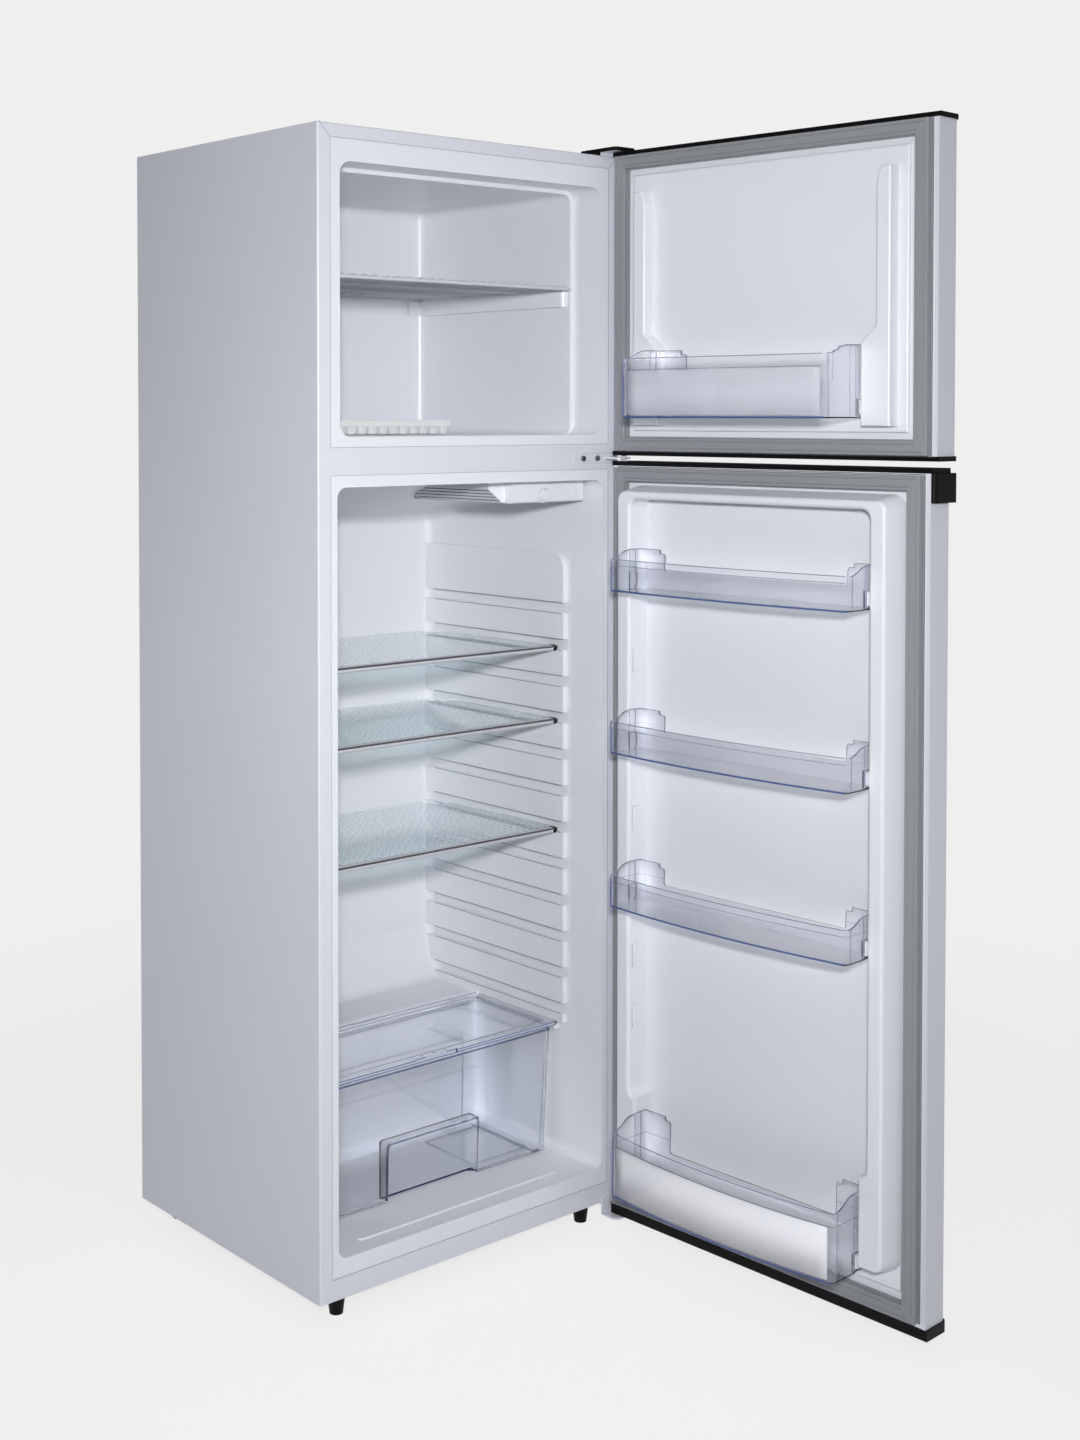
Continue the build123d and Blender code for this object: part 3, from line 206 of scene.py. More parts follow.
# Floor: the same paper, shown at its own colour to the camera and in reflections. Round the feet it takes
# some of the lamps' light, and so the cabinet's shadow, and further out it is its own colour alone
def studioPaper():
    material = newMaterial("studioPaper")
    reach = addNode(material, "ShaderNodeVectorMath", {"operation": "LENGTH"}, {0: objectCoords(material)})
    keep = addNode(material, "ShaderNodeMapRange", {"interpolation_type": "SMOOTHSTEP"},
                   {"Value": reach.outputs["Value"], "From Min": paper["shadowEnd"],
                    "From Max": paper["plainFrom"], "To Min": 1 - paper["shadowShare"], "To Max": 1.0})
    lift = addNode(material, "ShaderNodeMapRange",
                   inputs={"Value": keep.outputs[0], "From Min": 1 - paper["shadowShare"], "From Max": 1.0,
                           "To Min": paper["lift"], "To Max": 1.0})
    glow = addNode(material, "ShaderNodeEmission",
                   inputs={"Color": srgb(paper["colour"]), "Strength": lift.outputs[0]})
    matt = addNode(material, "ShaderNodeBsdfDiffuse", inputs={"Color": srgb(paper["matt"])})
    share = calculate(material, "MULTIPLY", seenDirectly(material, 1.0), keep.outputs[0])
    return finishMaterial(material, mixShaders(material, share, matt.outputs[0], glow.outputs[0]))


deselectAll()
bpy.ops.mesh.primitive_plane_add(size=2 * paper["half"], location=(0, 0, 0))
floor = bpy.context.object
floor.name = "floor"
floor.data.materials.append(studioPaper())
floor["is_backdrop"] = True
print("stage: light and floor set")


# Finishes. Most are named for what the real surface is; those named for glow, shade, shadow or reflection are
# painted light or shade on thin beads and strips

enamel = {"colour": "#dcdde6", "tint": "#d6d8e2", "roughness": 0.34, "peelMm": 2.4, "peelDepth": 0.00004,
          "peelStrength": 0.6, "driftScale": 3.0}


def enamelSteel(name):
    # powder-coated steel sheet: a cool white film with the faint orange peel that cured powder leaves
    material = newMaterial(name)
    coords = objectCoords(material)
    drift = noise(material, coords, enamel["driftScale"])
    colour = mixColours(material, drift, enamel["colour"], enamel["tint"])
    peel = noise(material, coords, 1000 / enamel["peelMm"])
    shader = addNode(material, "ShaderNodeBsdfPrincipled",
                     inputs={"Base Color": colour, "Roughness": enamel["roughness"],
                             "Normal": addBump(material, peel, enamel["peelStrength"], enamel["peelDepth"])})
    return finishMaterial(material, shader.outputs[0])


plasticFinishes = {
    # name: colour, second colour, roughness, grain in mm, grain depth in m, specular level
    "formedPolystyrene": ("#e6e8ee", "#e2e4ea", 0.30, 1.6, 0.00003, 0.5),
    "mouldedAbs": ("#eaecf0", "#e6e8ec", 0.28, 1.2, 0.00002, 0.5),
    "blackPolypropylene": ("#070708", "#0a0a0b", 0.45, 0.9, 0.00004, 0.12),
    "softSealVinyl": ("#909397", "#8b8e93", 0.55, 1.4, 0.00003, 0.4),
    "greyNylon": ("#3a3b3e", "#434447", 0.45, 1.0, 0.00003, 0.5),
    "mountRubber": ("#1a1a1b", "#202021", 0.7, 1.0, 0.00004, 0.4),
    "pouredFoam": ("#d9cfa6", "#cfc498", 0.9, 1.5, 0.0002, 0.3),
    "blackEnamel": ("#0c0d0e", "#101113", 0.3, 2.0, 0.00003, 0.5),
    "weldedVinyl": ("#a7aaae", "#a2a5a9", 0.5, 1.4, 0.00002, 0.4),
    # painted shade: the grey lines that clear styrene shows along rims, ribs and edges
    "styrenePaintedRimShade": ("#8690ab", "#8c96b0", 0.25, 1.0, 0.00001, 0.5),
    # painted shade: the dark line that a thick clear edge shows
    "styrenePaintedEdgeShade": ("#26315a", "#2c3863", 0.25, 1.0, 0.00001, 0.5),
    "frostedPolypropylene": ("#e4e6e6", "#dfe1e1", 0.4, 1.2, 0.00002, 0.5),
    # painted glow: the blue light that clear styrene gathers along its long edges
    "styrenePaintedEdgeGlow": ("#45578f", "#4d5f98", 0.25, 1.0, 0.00001, 0.4),
    # painted glow: the lighter front face of a clear edge strip
    "styrenePaintedFaceGlow": ("#c3c9d8", "#c9cfdc", 0.2, 1.0, 0.00001, 0.5),
    "milkyLens": ("#f4f5f9", "#eceef4", 0.25, 1.4, 0.00001, 0.5),
    # painted shade: the dark stripes of the lamp cover's ribs
    "lensRibShade": ("#6c7386", "#757c8e", 0.4, 1.0, 0.00001, 0.4),
    # painted reflection: the dark line along the top of the shelf trim
    "trimShade": ("#46474b", "#505155", 0.3, 1.0, 0.00001, 0.4),
    "grooveShade": ("#a6abb8", "#a0a5b2", 0.6, 1.0, 0.00001, 0.2),
    "anodisedTrim": ("#cbccd0", "#c4c5ca", 0.22, 0.8, 0.00001, 0.5),
    # painted shadow: the dark lines in the seams round the openings
    "seamShadow": ("#8c8ea0", "#8587a0", 0.7, 1.0, 0.00001, 0.2),
    # painted shade: the dark line in the gap between the door seal and the skin
    "sealGrooveShade": ("#63666d", "#6a6d74", 0.6, 1.0, 0.00001, 0.3),
    "whiteWireCoat": ("#d3d6da", "#c9ccd1", 0.35, 1.0, 0.00002, 0.5),
}


moulding = {"driftScale": 6.0, "driftDetail": 3.0, "glossSpread": 0.05, "grainStrength": 0.5}


def plainFinish(name):
    # one moulded, formed or coated surface: a slow drift of colour and a fine grain in its gloss
    first, second, roughness, grainMm, depth, specular = plasticFinishes[name]
    material = newMaterial(name)
    coords = objectCoords(material)
    drift = noise(material, coords, moulding["driftScale"], moulding["driftDetail"])
    grain = noise(material, coords, 1000 / grainMm)
    gloss = addNode(material, "ShaderNodeMapRange",
                    inputs={"Value": grain, "To Min": roughness - moulding["glossSpread"],
                            "To Max": roughness + moulding["glossSpread"]})
    shader = addNode(material, "ShaderNodeBsdfPrincipled",
                     inputs={"Base Color": mixColours(material, drift, first, second),
                             "Roughness": gloss.outputs[0], "Specular IOR Level": specular,
                             "Normal": addBump(material, grain, moulding["grainStrength"], depth)})
    return finishMaterial(material, shader.outputs[0])


metalFinishes = {
    # name: colour, second colour, roughness, spangle or brush in mm
    "galvanisedSheet": ("#aeb1b4", "#a6aaad", 0.38, 6.0),
    "zincScrew": ("#7d8784", "#8f9794", 0.35, 1.5),
    "drawnCopper": ("#b87350", "#a5633f", 0.32, 3.0),
}


metalGloss = {"brighter": 0.06, "duller": 0.08}


def metalFinish(name):
    # bare metal: spangle or drawing marks vary both the colour and the gloss
    first, second, roughness, markMm = metalFinishes[name]
    material = newMaterial(name)
    marks = addNode(material, "ShaderNodeTexVoronoi",
                    inputs={"Vector": objectCoords(material), "Scale": 1000 / markMm}).outputs["Distance"]
    gloss = addNode(material, "ShaderNodeMapRange",
                    inputs={"Value": marks, "To Min": roughness - metalGloss["brighter"],
                            "To Max": roughness + metalGloss["duller"]})
    shader = addNode(material, "ShaderNodeBsdfPrincipled",
                     inputs={"Base Color": mixColours(material, marks, first, second), "Metallic": 1.0,
                             "Roughness": gloss.outputs[0]})
    return finishMaterial(material, shader.outputs[0])


frit = {"pitchMm": 14.0, "dotMm": 3.0, "scatter": 0.35, "colour": "#8b999b", "share": 0.4,
        "glass": "#f6f9fa", "roughness": 0.03, "ior": 1.5, "shadow": "#d6dfdf"}


def frittedGlass(name):
    # tempered shelf glass with small ceramic dots fired on, which grip what stands on it
    material = newMaterial(name)
    flat = addNode(material, "ShaderNodeVectorMath", {"operation": "MULTIPLY"},
                   {0: objectCoords(material), 1: (1, 1, 0)})
    cells = addNode(material, "ShaderNodeTexVoronoi", {"voronoi_dimensions": "2D"},
                    {"Vector": flat.outputs[0], "Scale": 1000 / frit["pitchMm"],
                     "Randomness": frit["scatter"]})
    dot = calculate(material, "LESS_THAN", cells.outputs["Distance"], frit["dotMm"] / 2 / frit["pitchMm"])
    glass = addNode(material, "ShaderNodeBsdfPrincipled",
                    inputs={"Base Color": srgb(frit["glass"]), "Roughness": frit["roughness"],
                            "IOR": frit["ior"], "Transmission Weight": 1.0})
    ceramic = addNode(material, "ShaderNodeBsdfDiffuse", inputs={"Color": srgb(frit["colour"])})
    share = calculate(material, "MULTIPLY", dot, frit["share"])
    dotted = mixShaders(material, share, glass.outputs[0], ceramic.outputs[0])
    return finishMaterial(material, paleShadow(material, dotted, frit["shadow"]))


clearFinishes = {
    # name: tint, tint of the shadow it casts, roughness, IOR, what it soaks up along a long path, how fast
    "clearStyrene": ("#f2f2f4", "#e1e2e4", 0.04, 1.45, "#7f8ca8", 2.5),
    "clearCrisper": ("#fbfbfc", "#e3e5e8", 0.04, 1.45, "#5f74ac", 3.0),
    "toughGlass": ("#eaf3f0", "#e3eae8", 0.02, 1.45, "#4fa58c", 6.0),
}


def clearFinish(name):
    # clear moulding or glass: light passes it, with a tint, and lamps see through it with a light shadow
    tint, shadowTint, roughness, ior, soak, density = clearFinishes[name]
    material = newMaterial(name)
    body = addNode(material, "ShaderNodeBsdfPrincipled",
                   inputs={"Base Color": srgb(tint), "Roughness": roughness, "IOR": ior,
                           "Transmission Weight": 1.0})
    depth = addNode(material, "ShaderNodeVolumeAbsorption", inputs={"Color": srgb(soak), "Density": density})
    return finishMaterial(material, paleShadow(material, body.outputs[0], shadowTint), depth.outputs[0])


etchedFinishes = {
    # name: colour of the haze, share of the light that it stops, grain in mm
    "etchedStyrene": ("#e6e8ed", 0.46, 0.8),
    "frostedStyrene": ("#fbfbfc", 0.80, 0.8),
}
etching = {"clear": "#fbfbfc", "spread": 0.1}


def etchedFinish(name):
    # the etched part of a clear front: a fine haze that hides most of what stands behind it
    hazeColour, stop, grainMm = etchedFinishes[name]
    material = newMaterial(name)
    grain = noise(material, objectCoords(material), 1000 / grainMm)
    share = addNode(material, "ShaderNodeMapRange",
                    inputs={"Value": grain, "To Min": stop - etching["spread"],
                            "To Max": stop + etching["spread"]})
    clear = addNode(material, "ShaderNodeBsdfTransparent", inputs={"Color": srgb(etching["clear"])})
    haze = addNode(material, "ShaderNodeBsdfDiffuse", inputs={"Color": srgb(hazeColour)})
    return finishMaterial(material, mixShaders(material, share.outputs[0], clear.outputs[0], haze.outputs[0]))


finishes = {"powderEnamel": enamelSteel("powderEnamel"), "frittedGlass": frittedGlass("frittedGlass")}
finishes.update({name: etchedFinish(name) for name in etchedFinishes})
finishes.update({name: plainFinish(name) for name in plasticFinishes})
finishes.update({name: metalFinish(name) for name in metalFinishes})
finishes.update({name: clearFinish(name) for name in clearFinishes})

nodeFinish = {
    "powderEnamel": ["outer_shell", "mullion_rail", "bottom_rail", "freezer_door_skin", "fridge_door_skin",
                     "top_hinge", "middle_hinge", "bottom_hinge"],
    "formedPolystyrene": ["freezer_liner", "fridge_liner", "freezer_door_liner", "fridge_door_liner"],
    "galvanisedSheet": ["back_panel", "base_pan", "niche_plate", "roller_brackets"],
    "pouredFoam": ["foam_insulation", "freezer_door_foam", "fridge_door_foam"],
    "zincScrew": ["hinge_screws"],
    "blackPolypropylene": ["top_hinge_cover", "freezer_door_top_cap", "freezer_door_bottom_cap",
                           "fridge_door_top_cap", "fridge_door_bottom_cap", "fridge_door_grip",
                           "left_foot", "right_foot", "relay_box"],
    "softSealVinyl": ["freezer_door_gasket", "fridge_door_gasket"],
    "clearStyrene": ["freezer_door_bin", "upper_door_bin", "middle_door_bin", "lower_door_bin", "bottle_bin"],
    "clearCrisper": ["crisper_drawer", "crisper_cover"],
    "frittedGlass": ["upper_glass_shelf", "middle_glass_shelf", "lower_glass_shelf"],
    "toughGlass": ["lamp_bulb"],
    "anodisedTrim": ["upper_shelf_trim", "middle_shelf_trim", "lower_shelf_trim"],
    "whiteWireCoat": ["wire_shelf"],
    "mouldedAbs": ["ice_tray", "thermostat_housing", "thermostat_knob", "door_switch", "drip_tray",
                   "thermostat"],
    "milkyLens": ["lamp_cover"],
    "blackEnamel": ["compressor"],
    "drawnCopper": ["filter_drier", "refrigerant_tubes"],
    "mountRubber": ["compressor_mounts"],
    "greyNylon": ["left_roller", "right_roller"],
}


def dress(piece, finish):
    piece.data.materials.clear()
    piece.data.materials.append(finishes[finish])


for finish, names in nodeFinish.items():
    for name in names:
        dress(nodes[name], finish)
print("stage: finishes on the carried-over nodes")


# Making pieces

def addBlock(low, high, bevel, segments):
    # a block between two corners, each right of the centre plane, behind the front face and above the floor
    deselectAll()
    lowCorner, highCorner = place(*low), place(*high)
    bpy.ops.mesh.primitive_cube_add(size=1, location=(lowCorner + highCorner) / 2,
                                    scale=highCorner - lowCorner)
    bpy.ops.object.transform_apply(location=True, rotation=True, scale=True)
    bpy.ops.object.mode_set(mode="EDIT")
    bpy.ops.mesh.bevel(offset=bevel, segments=segments, affect="EDGES")
    bpy.ops.object.mode_set(mode="OBJECT")
    return bpy.context.object


def addBead(points, radius, closed=False, sides=2):
    # a thin round bead along the points
    deselectAll()
    curve = bpy.data.curves.new("bead", "CURVE")
    curve.dimensions = "3D"
    curve.bevel_depth, curve.bevel_resolution, curve.use_fill_caps = radius, sides, True
    line = curve.splines.new("POLY")
    line.points.add(len(points) - 1)
    for point, spot in zip(line.points, points):
        point.co = (*place(*spot), 1)
    line.use_cyclic_u = closed
    bead = bpy.data.objects.new("bead", curve)
    bpy.context.scene.collection.objects.link(bead)
    bead.select_set(True)
    bpy.context.view_layer.objects.active = bead
    bpy.ops.object.convert(target="MESH")
    return bpy.context.object


def join(pieces):
    deselectAll()
    for piece in pieces:
        piece.select_set(True)
    bpy.context.view_layer.objects.active = pieces[0]
    if len(pieces) > 1:
        bpy.ops.object.join()
    return pieces[0]


def addBeads(rows):
    # one piece from rows of points and radius, then whether the bead is closed and how round it is
    return join([addBead(*row) for row in rows])


def smooth(piece, degrees=35):
    deselectAll()
    piece.select_set(True)
    bpy.context.view_layer.objects.active = piece
    bpy.ops.object.shade_smooth_by_angle(angle=math.radians(degrees))
    return piece


# Pieces on a door are drawn with it shut, then carried round the hinge pin to where it stands open
hinge = {"x": 0.2696, "y": -0.0236, "freezer_door": 94.6, "fridge_door": 93.1}


def swing(door):
    pin = place(hinge["x"], hinge["y"], 0)
    turn = Matrix.Rotation(math.radians(hinge[door]), 4, "Z")
    return Matrix.Translation(pin) @ turn @ Matrix.Translation(-pin)


def settle(piece, name, finish, body, door=None):
    # names, finishes and seats a piece: its place goes into its mesh and it rides with the body
    if door:
        piece.matrix_world = swing(door) @ piece.matrix_world
    deselectAll()
    piece.select_set(True)
    bpy.context.view_layer.objects.active = piece
    bpy.ops.object.transform_apply(location=True, rotation=True, scale=True)
    piece.name = piece.data.name = name
    dress(piece, finish)
    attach(piece, body)
    return piece


# Door seals: a hollow vinyl strip with a fold behind it and a magnet pocket in front, mitred and welded at
# the corners. Each profile is a row of steps inwards across the strip and out from the door, in mm
seal = {"halfWidth": 0.270, "doorY": -0.0126, "pocketOut": 0.0062,
        "weldRadius": 0.00055, "weldOut": 0.01175, "weldFrom": 0.0012, "weldTo": 0.0190,
        "fold": [(0, 3.0), (4.0, 0), (0, 3.2), (17.5, 0), (0, -6.2)],
        "pocket": [(0, 5.1), (0.9, 0.9), (3.0, 0), (0.5, -0.9), (0.9, 0), (0.5, 0.9), (8.4, 0),
                   (0.5, -0.9), (0.9, 0), (0.5, 0.9), (3.0, 0), (0.9, -0.9), (0, -5.1)],
        "levels": {"freezer_door": (1.1875, 1.6288), "fridge_door": (0.0414, 1.1620)}}


def sealRing(low, high, y, steps):
    deselectAll()
    middle = place(0, y, (low + high) / 2)
    bpy.ops.mesh.primitive_plane_add(size=1, location=middle, rotation=(math.radians(-90), 0, 0))
    bpy.context.object.scale = (2 * seal["halfWidth"], high - low, 1)
    bpy.ops.object.transform_apply(location=True, rotation=True, scale=True)
    bpy.ops.object.mode_set(mode="EDIT")
    bpy.ops.mesh.select_mode(type="FACE")
    for across, out in steps:
        bpy.ops.mesh.inset(thickness=across / 1000, depth=out / 1000)
    bpy.ops.mesh.delete(type="FACE")
    bpy.ops.mesh.select_mode(type="EDGE")
    bpy.ops.mesh.select_all(action="DESELECT")
    bpy.ops.mesh.select_non_manifold()
    bpy.ops.mesh.bridge_edge_loops()
    bpy.ops.mesh.select_all(action="SELECT")
    bpy.ops.mesh.normals_make_consistent(inside=False)
    bpy.ops.object.mode_set(mode="OBJECT")
    return bpy.context.object


def addSeal(door):
    low, high = seal["levels"][door]
    fold = sealRing(low, high, seal["doorY"], seal["fold"])
    pocket = sealRing(low, high, seal["doorY"] + seal["pocketOut"], seal["pocket"])
    ring = settle(join([fold, pocket]), f"{door}_seal", "softSealVinyl", door, door)
    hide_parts(f"{door}_gasket")
    welds = []
    front = seal["doorY"] + seal["weldOut"]
    for side in (-1, 1):
        for level, lean in ((low, 1), (high, -1)):
            ends = [(side * (seal["halfWidth"] - inset), front, level + lean * inset)
                    for inset in (seal["weldFrom"], seal["weldTo"])]
            welds.append((ends, seal["weldRadius"]))
    settle(addBeads(welds), f"{door}_sealWelds", "weldedVinyl", door, door)


for door in ("freezer_door", "fridge_door"):
    addSeal(door)
print("stage: door seals")


# Door bins: clear trays whose long edges gather light; that light is painted on as beads, a blue painted glow
# along the bottom and grey painted shade along the rim, ribs and ends
binEdges = {
    # bin: half width, end depth, bow, floor level, front height, end height, ear width, door, body
    "freezer_door_bin": (0.176, 0.092, 0.0015, 1.2370, 0.085, 0.098, 0.050, "freezer_door", "freezer_bin"),
    "upper_door_bin": (0.212, 0.072, 0.013, 0.98397, 0.047, 0.059, 0.050, "fridge_door", "upper_bin"),
    "middle_door_bin": (0.212, 0.072, 0.013, 0.74605, 0.047, 0.059, 0.050, "fridge_door", "middle_bin"),
    "lower_door_bin": (0.212, 0.072, 0.013, 0.51996, 0.047, 0.059, 0.050, "fridge_door", "lower_bin"),
    "bottle_bin": (0.199, 0.080, 0.016, 0.0960, 0.094, 0.109, 0.050, "fridge_door", "bottle_bin"),
}
binLook = {"litRadius": 0.0014, "cornerRadius": 0.0009, "rimRadius": 0.0006, "bandRadius": 0.00048,
           "ribRadius": 0.00054, "rimShare": 0.19, "ribs": (0.018, 0.031), "edgeInset": 0.0010,
           "steps": 12, "litReach": 0.985, "litInset": 0.0018, "litRise": 0.0010, "rimReach": 0.975,
           "rimInset": 0.0010, "bandInset": 0.0006, "low": 0.002, "cornerX": 0.0012, "cornerY": 0.0030,
           "cornerShare": 0.95, "bendX": 0.0010, "bendY": 0.0100, "ribX": 0.0030, "ribLow": 0.003,
           "ribHigh": 0.001, "riseX": 0.0005, "riseFrom": 0.4, "riseBack": 0.004, "crownX": 0.003,
           "earDepth": 0.0045, "earTop": 0.038, "earStep": 0.006, "earSlant": 0.002, "earFootShare": 0.62}


def frontLine(halfWidth, depth, bow, level, inset, reach):
    # a level line along the bowed front, as far to each side as reach says
    spots = []
    for step in range(-binLook["steps"], binLook["steps"] + 1):
        x = halfWidth * reach * step / binLook["steps"]
        spots.append((x, depth + bow * (1 - (x / halfWidth) ** 2) - inset, level))
    return spots


def riseLine(x, depth, level, low, high):
    # the end wall's top edge, which sweeps up from the front rim to the back
    spots = []
    for step in range(binLook["steps"] + 1):
        share = step / binLook["steps"]
        height = low + (high - low) * (1 - (3 * share ** 2 - 2 * share ** 3))
        start = depth * binLook["riseFrom"]
        spots.append((x, start + (depth - start - binLook["earDepth"]) * share, level + height))
    return [(x, binLook["riseBack"], level + high)] + spots


def crownLine(side, halfWidth, ear, level, low, high):
    # the back edge of an end wall, stepping down along the ear that hangs on the door
    spots = [(halfWidth - binLook["crownX"], high), (halfWidth - binLook["earTop"], high),
             (halfWidth - binLook["earTop"] - binLook["earSlant"], high - binLook["earStep"]),
             (halfWidth - ear + binLook["earSlant"], high - binLook["earStep"]),
             (halfWidth - ear, high - 2 * binLook["earStep"]),
             (halfWidth - ear, low * binLook["earFootShare"])]
    return [(side * x, binLook["earDepth"], level + height) for x, height in spots]


def endWallEdges(side, halfWidth, depth, ear, level, low, high):
    # the swept top edge, the bend to the front, the upright ribs and the edge at the back
    edge = halfWidth - binLook["edgeInset"]
    bend = (side * (edge - binLook["bendX"]), depth - binLook["bendY"])
    rib = side * (edge - binLook["ribX"])
    rows = [(riseLine(side * (edge - binLook["riseX"]), depth, level, low, high), binLook["rimRadius"]),
            ([(*bend, level + binLook["low"]), (*bend, level + low)], binLook["rimRadius"])]
    for y in binLook["ribs"]:
        ends = [(rib, y, level + binLook["ribLow"]), (rib, y, level + high - binLook["ribHigh"])]
        rows.append((ends, binLook["ribRadius"]))
    rows.append((crownLine(side, halfWidth, ear, level, low, high), binLook["rimRadius"]))
    return rows


for name, (halfWidth, depth, bow, level, low, high, ear, door, body) in binEdges.items():
    edge = halfWidth - binLook["edgeInset"]
    corner = (edge - binLook["cornerX"], depth - binLook["cornerY"])
    # painted glow: a blue bead along the front of the floor and one up a front corner
    floorLine = frontLine(edge, depth, bow, level + binLook["litRise"], binLook["litInset"],
                          binLook["litReach"])
    cornerLine = [(*corner, level + binLook["low"]), (*corner, level + low * binLook["cornerShare"])]
    lit = [(floorLine, binLook["litRadius"]), (cornerLine, binLook["cornerRadius"])]
    settle(addBeads(lit), f"{name}_paintedEdgeGlows", "styrenePaintedEdgeGlow", body, door)
    # painted shade: grey beads along the rim, a band below it, and on each end the swept top, the bend, the
    # ribs and the ear
    band = level + low * (1 - binLook["rimShare"])
    rimShadeLines = [(frontLine(edge, depth, bow, level + low, binLook["rimInset"], binLook["rimReach"]),
             binLook["rimRadius"]),
            (frontLine(edge, depth, bow, band, binLook["bandInset"], binLook["rimReach"]),
             binLook["bandRadius"])]
    for side in (-1, 1):
        rimShadeLines.extend(endWallEdges(side, halfWidth, depth, ear, level, low, high))
    settle(addBeads(rimShadeLines), f"{name}_rims", "styrenePaintedRimShade", body, door)


# Etched fronts of the two deep bins, just inside the clear wall
etchedFront = {"inset": 0.0034, "reach": 0.95, "film": 0.0004, "low": 0.004, "gap": 0.002,
               "finish": {"freezer_door_bin": "etchedStyrene", "bottle_bin": "frostedStyrene"}}


def addRibbon(spots, low, high):
    # an upright ribbon between two heights along the spots
    deselectAll()
    curve = bpy.data.curves.new("ribbon", "CURVE")
    curve.dimensions = "2D"
    curve.extrude = (high - low) / 2
    line = curve.splines.new("POLY")
    line.points.add(len(spots) - 1)
    for point, spot in zip(line.points, spots):
        point.co = (*place(spot[0], spot[1], 0).xy, 0, 1)
    ribbon = bpy.data.objects.new("ribbon", curve)
    bpy.context.scene.collection.objects.link(ribbon)
    ribbon.location = (0, 0, (low + high) / 2)
    ribbon.select_set(True)
    bpy.context.view_layer.objects.active = ribbon
    bpy.ops.object.convert(target="MESH")
    film = bpy.context.object.modifiers.new("film", "SOLIDIFY")
    film.thickness, film.offset = etchedFront["film"], 0
    bpy.ops.object.modifier_apply(modifier="film")
    return bpy.context.object


for name, finish in etchedFront["finish"].items():
    halfWidth, depth, bow, level, low, high, ear, door, body = binEdges[name]
    line = frontLine(halfWidth - binLook["edgeInset"], depth, bow, level, etchedFront["inset"],
                     etchedFront["reach"])
    haze = addRibbon(line, level + etchedFront["low"],
                     level + low * (1 - binLook["rimShare"]) - etchedFront["gap"])
    settle(haze, f"{name}_etchedFront", finish, body, door)
print("stage: door bin edges")


# Crisper drawer: the same clear moulding, with double rim edges and a thick edge round the finger recess,
# drawn as beads: dark painted shade round the recess, grey painted shade along edges, rim, fold and floor
# panel, and a blue painted glow on the front rim
crisper = {"half": 0.234, "front": 0.097, "back": 0.284, "base": 0.0903, "crown": 0.282, "lean": 0.0402,
           "gripHalf": 0.086, "gripTop": 0.1753, "gripShoulder": 0.170, "gripEnd": 0.150, "gripBack": 0.119,
           "gripCorner": 0.005, "gripRound": (0.010, 0.008), "gripShadeRadius": 0.0009, "fine": 0.0005,
           "line": 0.0006, "skin": 0.0002, "floor": 0.001, "rearInset": 0.0035, "rearRadius": 0.0009,
           "foldDrop": 0.0560, "foldRadius": 0.0008, "panFront": 0.030, "panBack": 0.040, "panGap": 0.010,
           "panSide": 0.022, "panRise": 0.0030, "panRadius": 0.0007, "rimEnd": 0.010, "rimRadius": 0.0007}


def crisperFront(z):
    return crisper["front"] + (crisper["crown"] - z) * crisper["lean"] - crisper["skin"]


def crisperSide(z):
    return crisper["half"] - (crisper["crown"] - z) * crisper["lean"]


base, crown, grip, half = crisper["base"], crisper["crown"], crisper["gripHalf"], crisper["half"]
baseFront, baseLevel = crisperFront(base), base + crisper["floor"]
shoulder = (crisperFront(crisper["gripShoulder"]), crisper["gripShoulder"])
gripCrown = (crisperFront(crisper["gripTop"]), crisper["gripTop"])
# painted shade: a dark bead round the finger recess and across its floor
outline = [(-grip, baseFront, baseLevel), (-grip, *shoulder), (-grip + crisper["gripCorner"], *gripCrown),
           (grip - crisper["gripCorner"], *gripCrown), (grip, *shoulder),
           (grip, crisperFront(crisper["gripEnd"]), crisper["gripEnd"])]
roundX, roundY = crisper["gripRound"]
gripFloor = [(-grip, crisper["gripBack"], baseLevel), (grip - roundX, crisper["gripBack"], baseLevel),
             (grip, crisper["gripBack"] - roundY, baseLevel), (grip, baseFront, baseLevel)]
settle(addBeads([(outline, crisper["gripShadeRadius"]), (gripFloor, crisper["gripShadeRadius"])]), "crisper_paintedGripShade",
       "styrenePaintedEdgeShade", "crisper", None)

# painted shade: grey beads along the base, the front corners, the floor, the top rim, the rear wall and the
# floor panel
lines = []
foot = crisperSide(base + 0.006)
for side in (-1, 1):
    lines += [
        # along the base on each side of the recess, then twice up the front corner
        ([(side * (foot - 0.006), baseFront, base + 0.0008),
          (side * (grip + 0.002), baseFront, base + 0.0008)], crisper["fine"]),
        ([(side * (foot - 0.004), baseFront + 0.004, base + 0.004),
          (side * (half - 0.004), crisper["front"] + 0.004, crown - 0.003)], crisper["line"]),
        ([(side * foot, baseFront + 0.014, base + 0.004),
          (side * half, crisper["front"] + 0.014, crown - 0.003)], crisper["fine"]),
        # back along the floor and along the top rim
        ([(side * (foot - 0.030), baseFront + 0.020, base + 0.0025),
          (side * (half - 0.030), crisper["back"] - 0.022, base + 0.0025)], crisper["line"]),
        ([(side * (half + 0.003), crisper["front"] + 0.012, crown - 0.0005),
          (side * (half + 0.003), crisper["back"] - 0.010, crown - 0.0005)], crisper["line"])]
rear = crisper["back"] - crisper["rearInset"]
fold, panLevel = crown - crisper["foldDrop"], base + crisper["panRise"]
panNear, panFar = crisper["front"] + crisper["panFront"], crisper["back"] - crisper["panBack"]
panLeft, panRight = grip + crisper["panGap"], crisperSide(base) - crisper["panSide"]
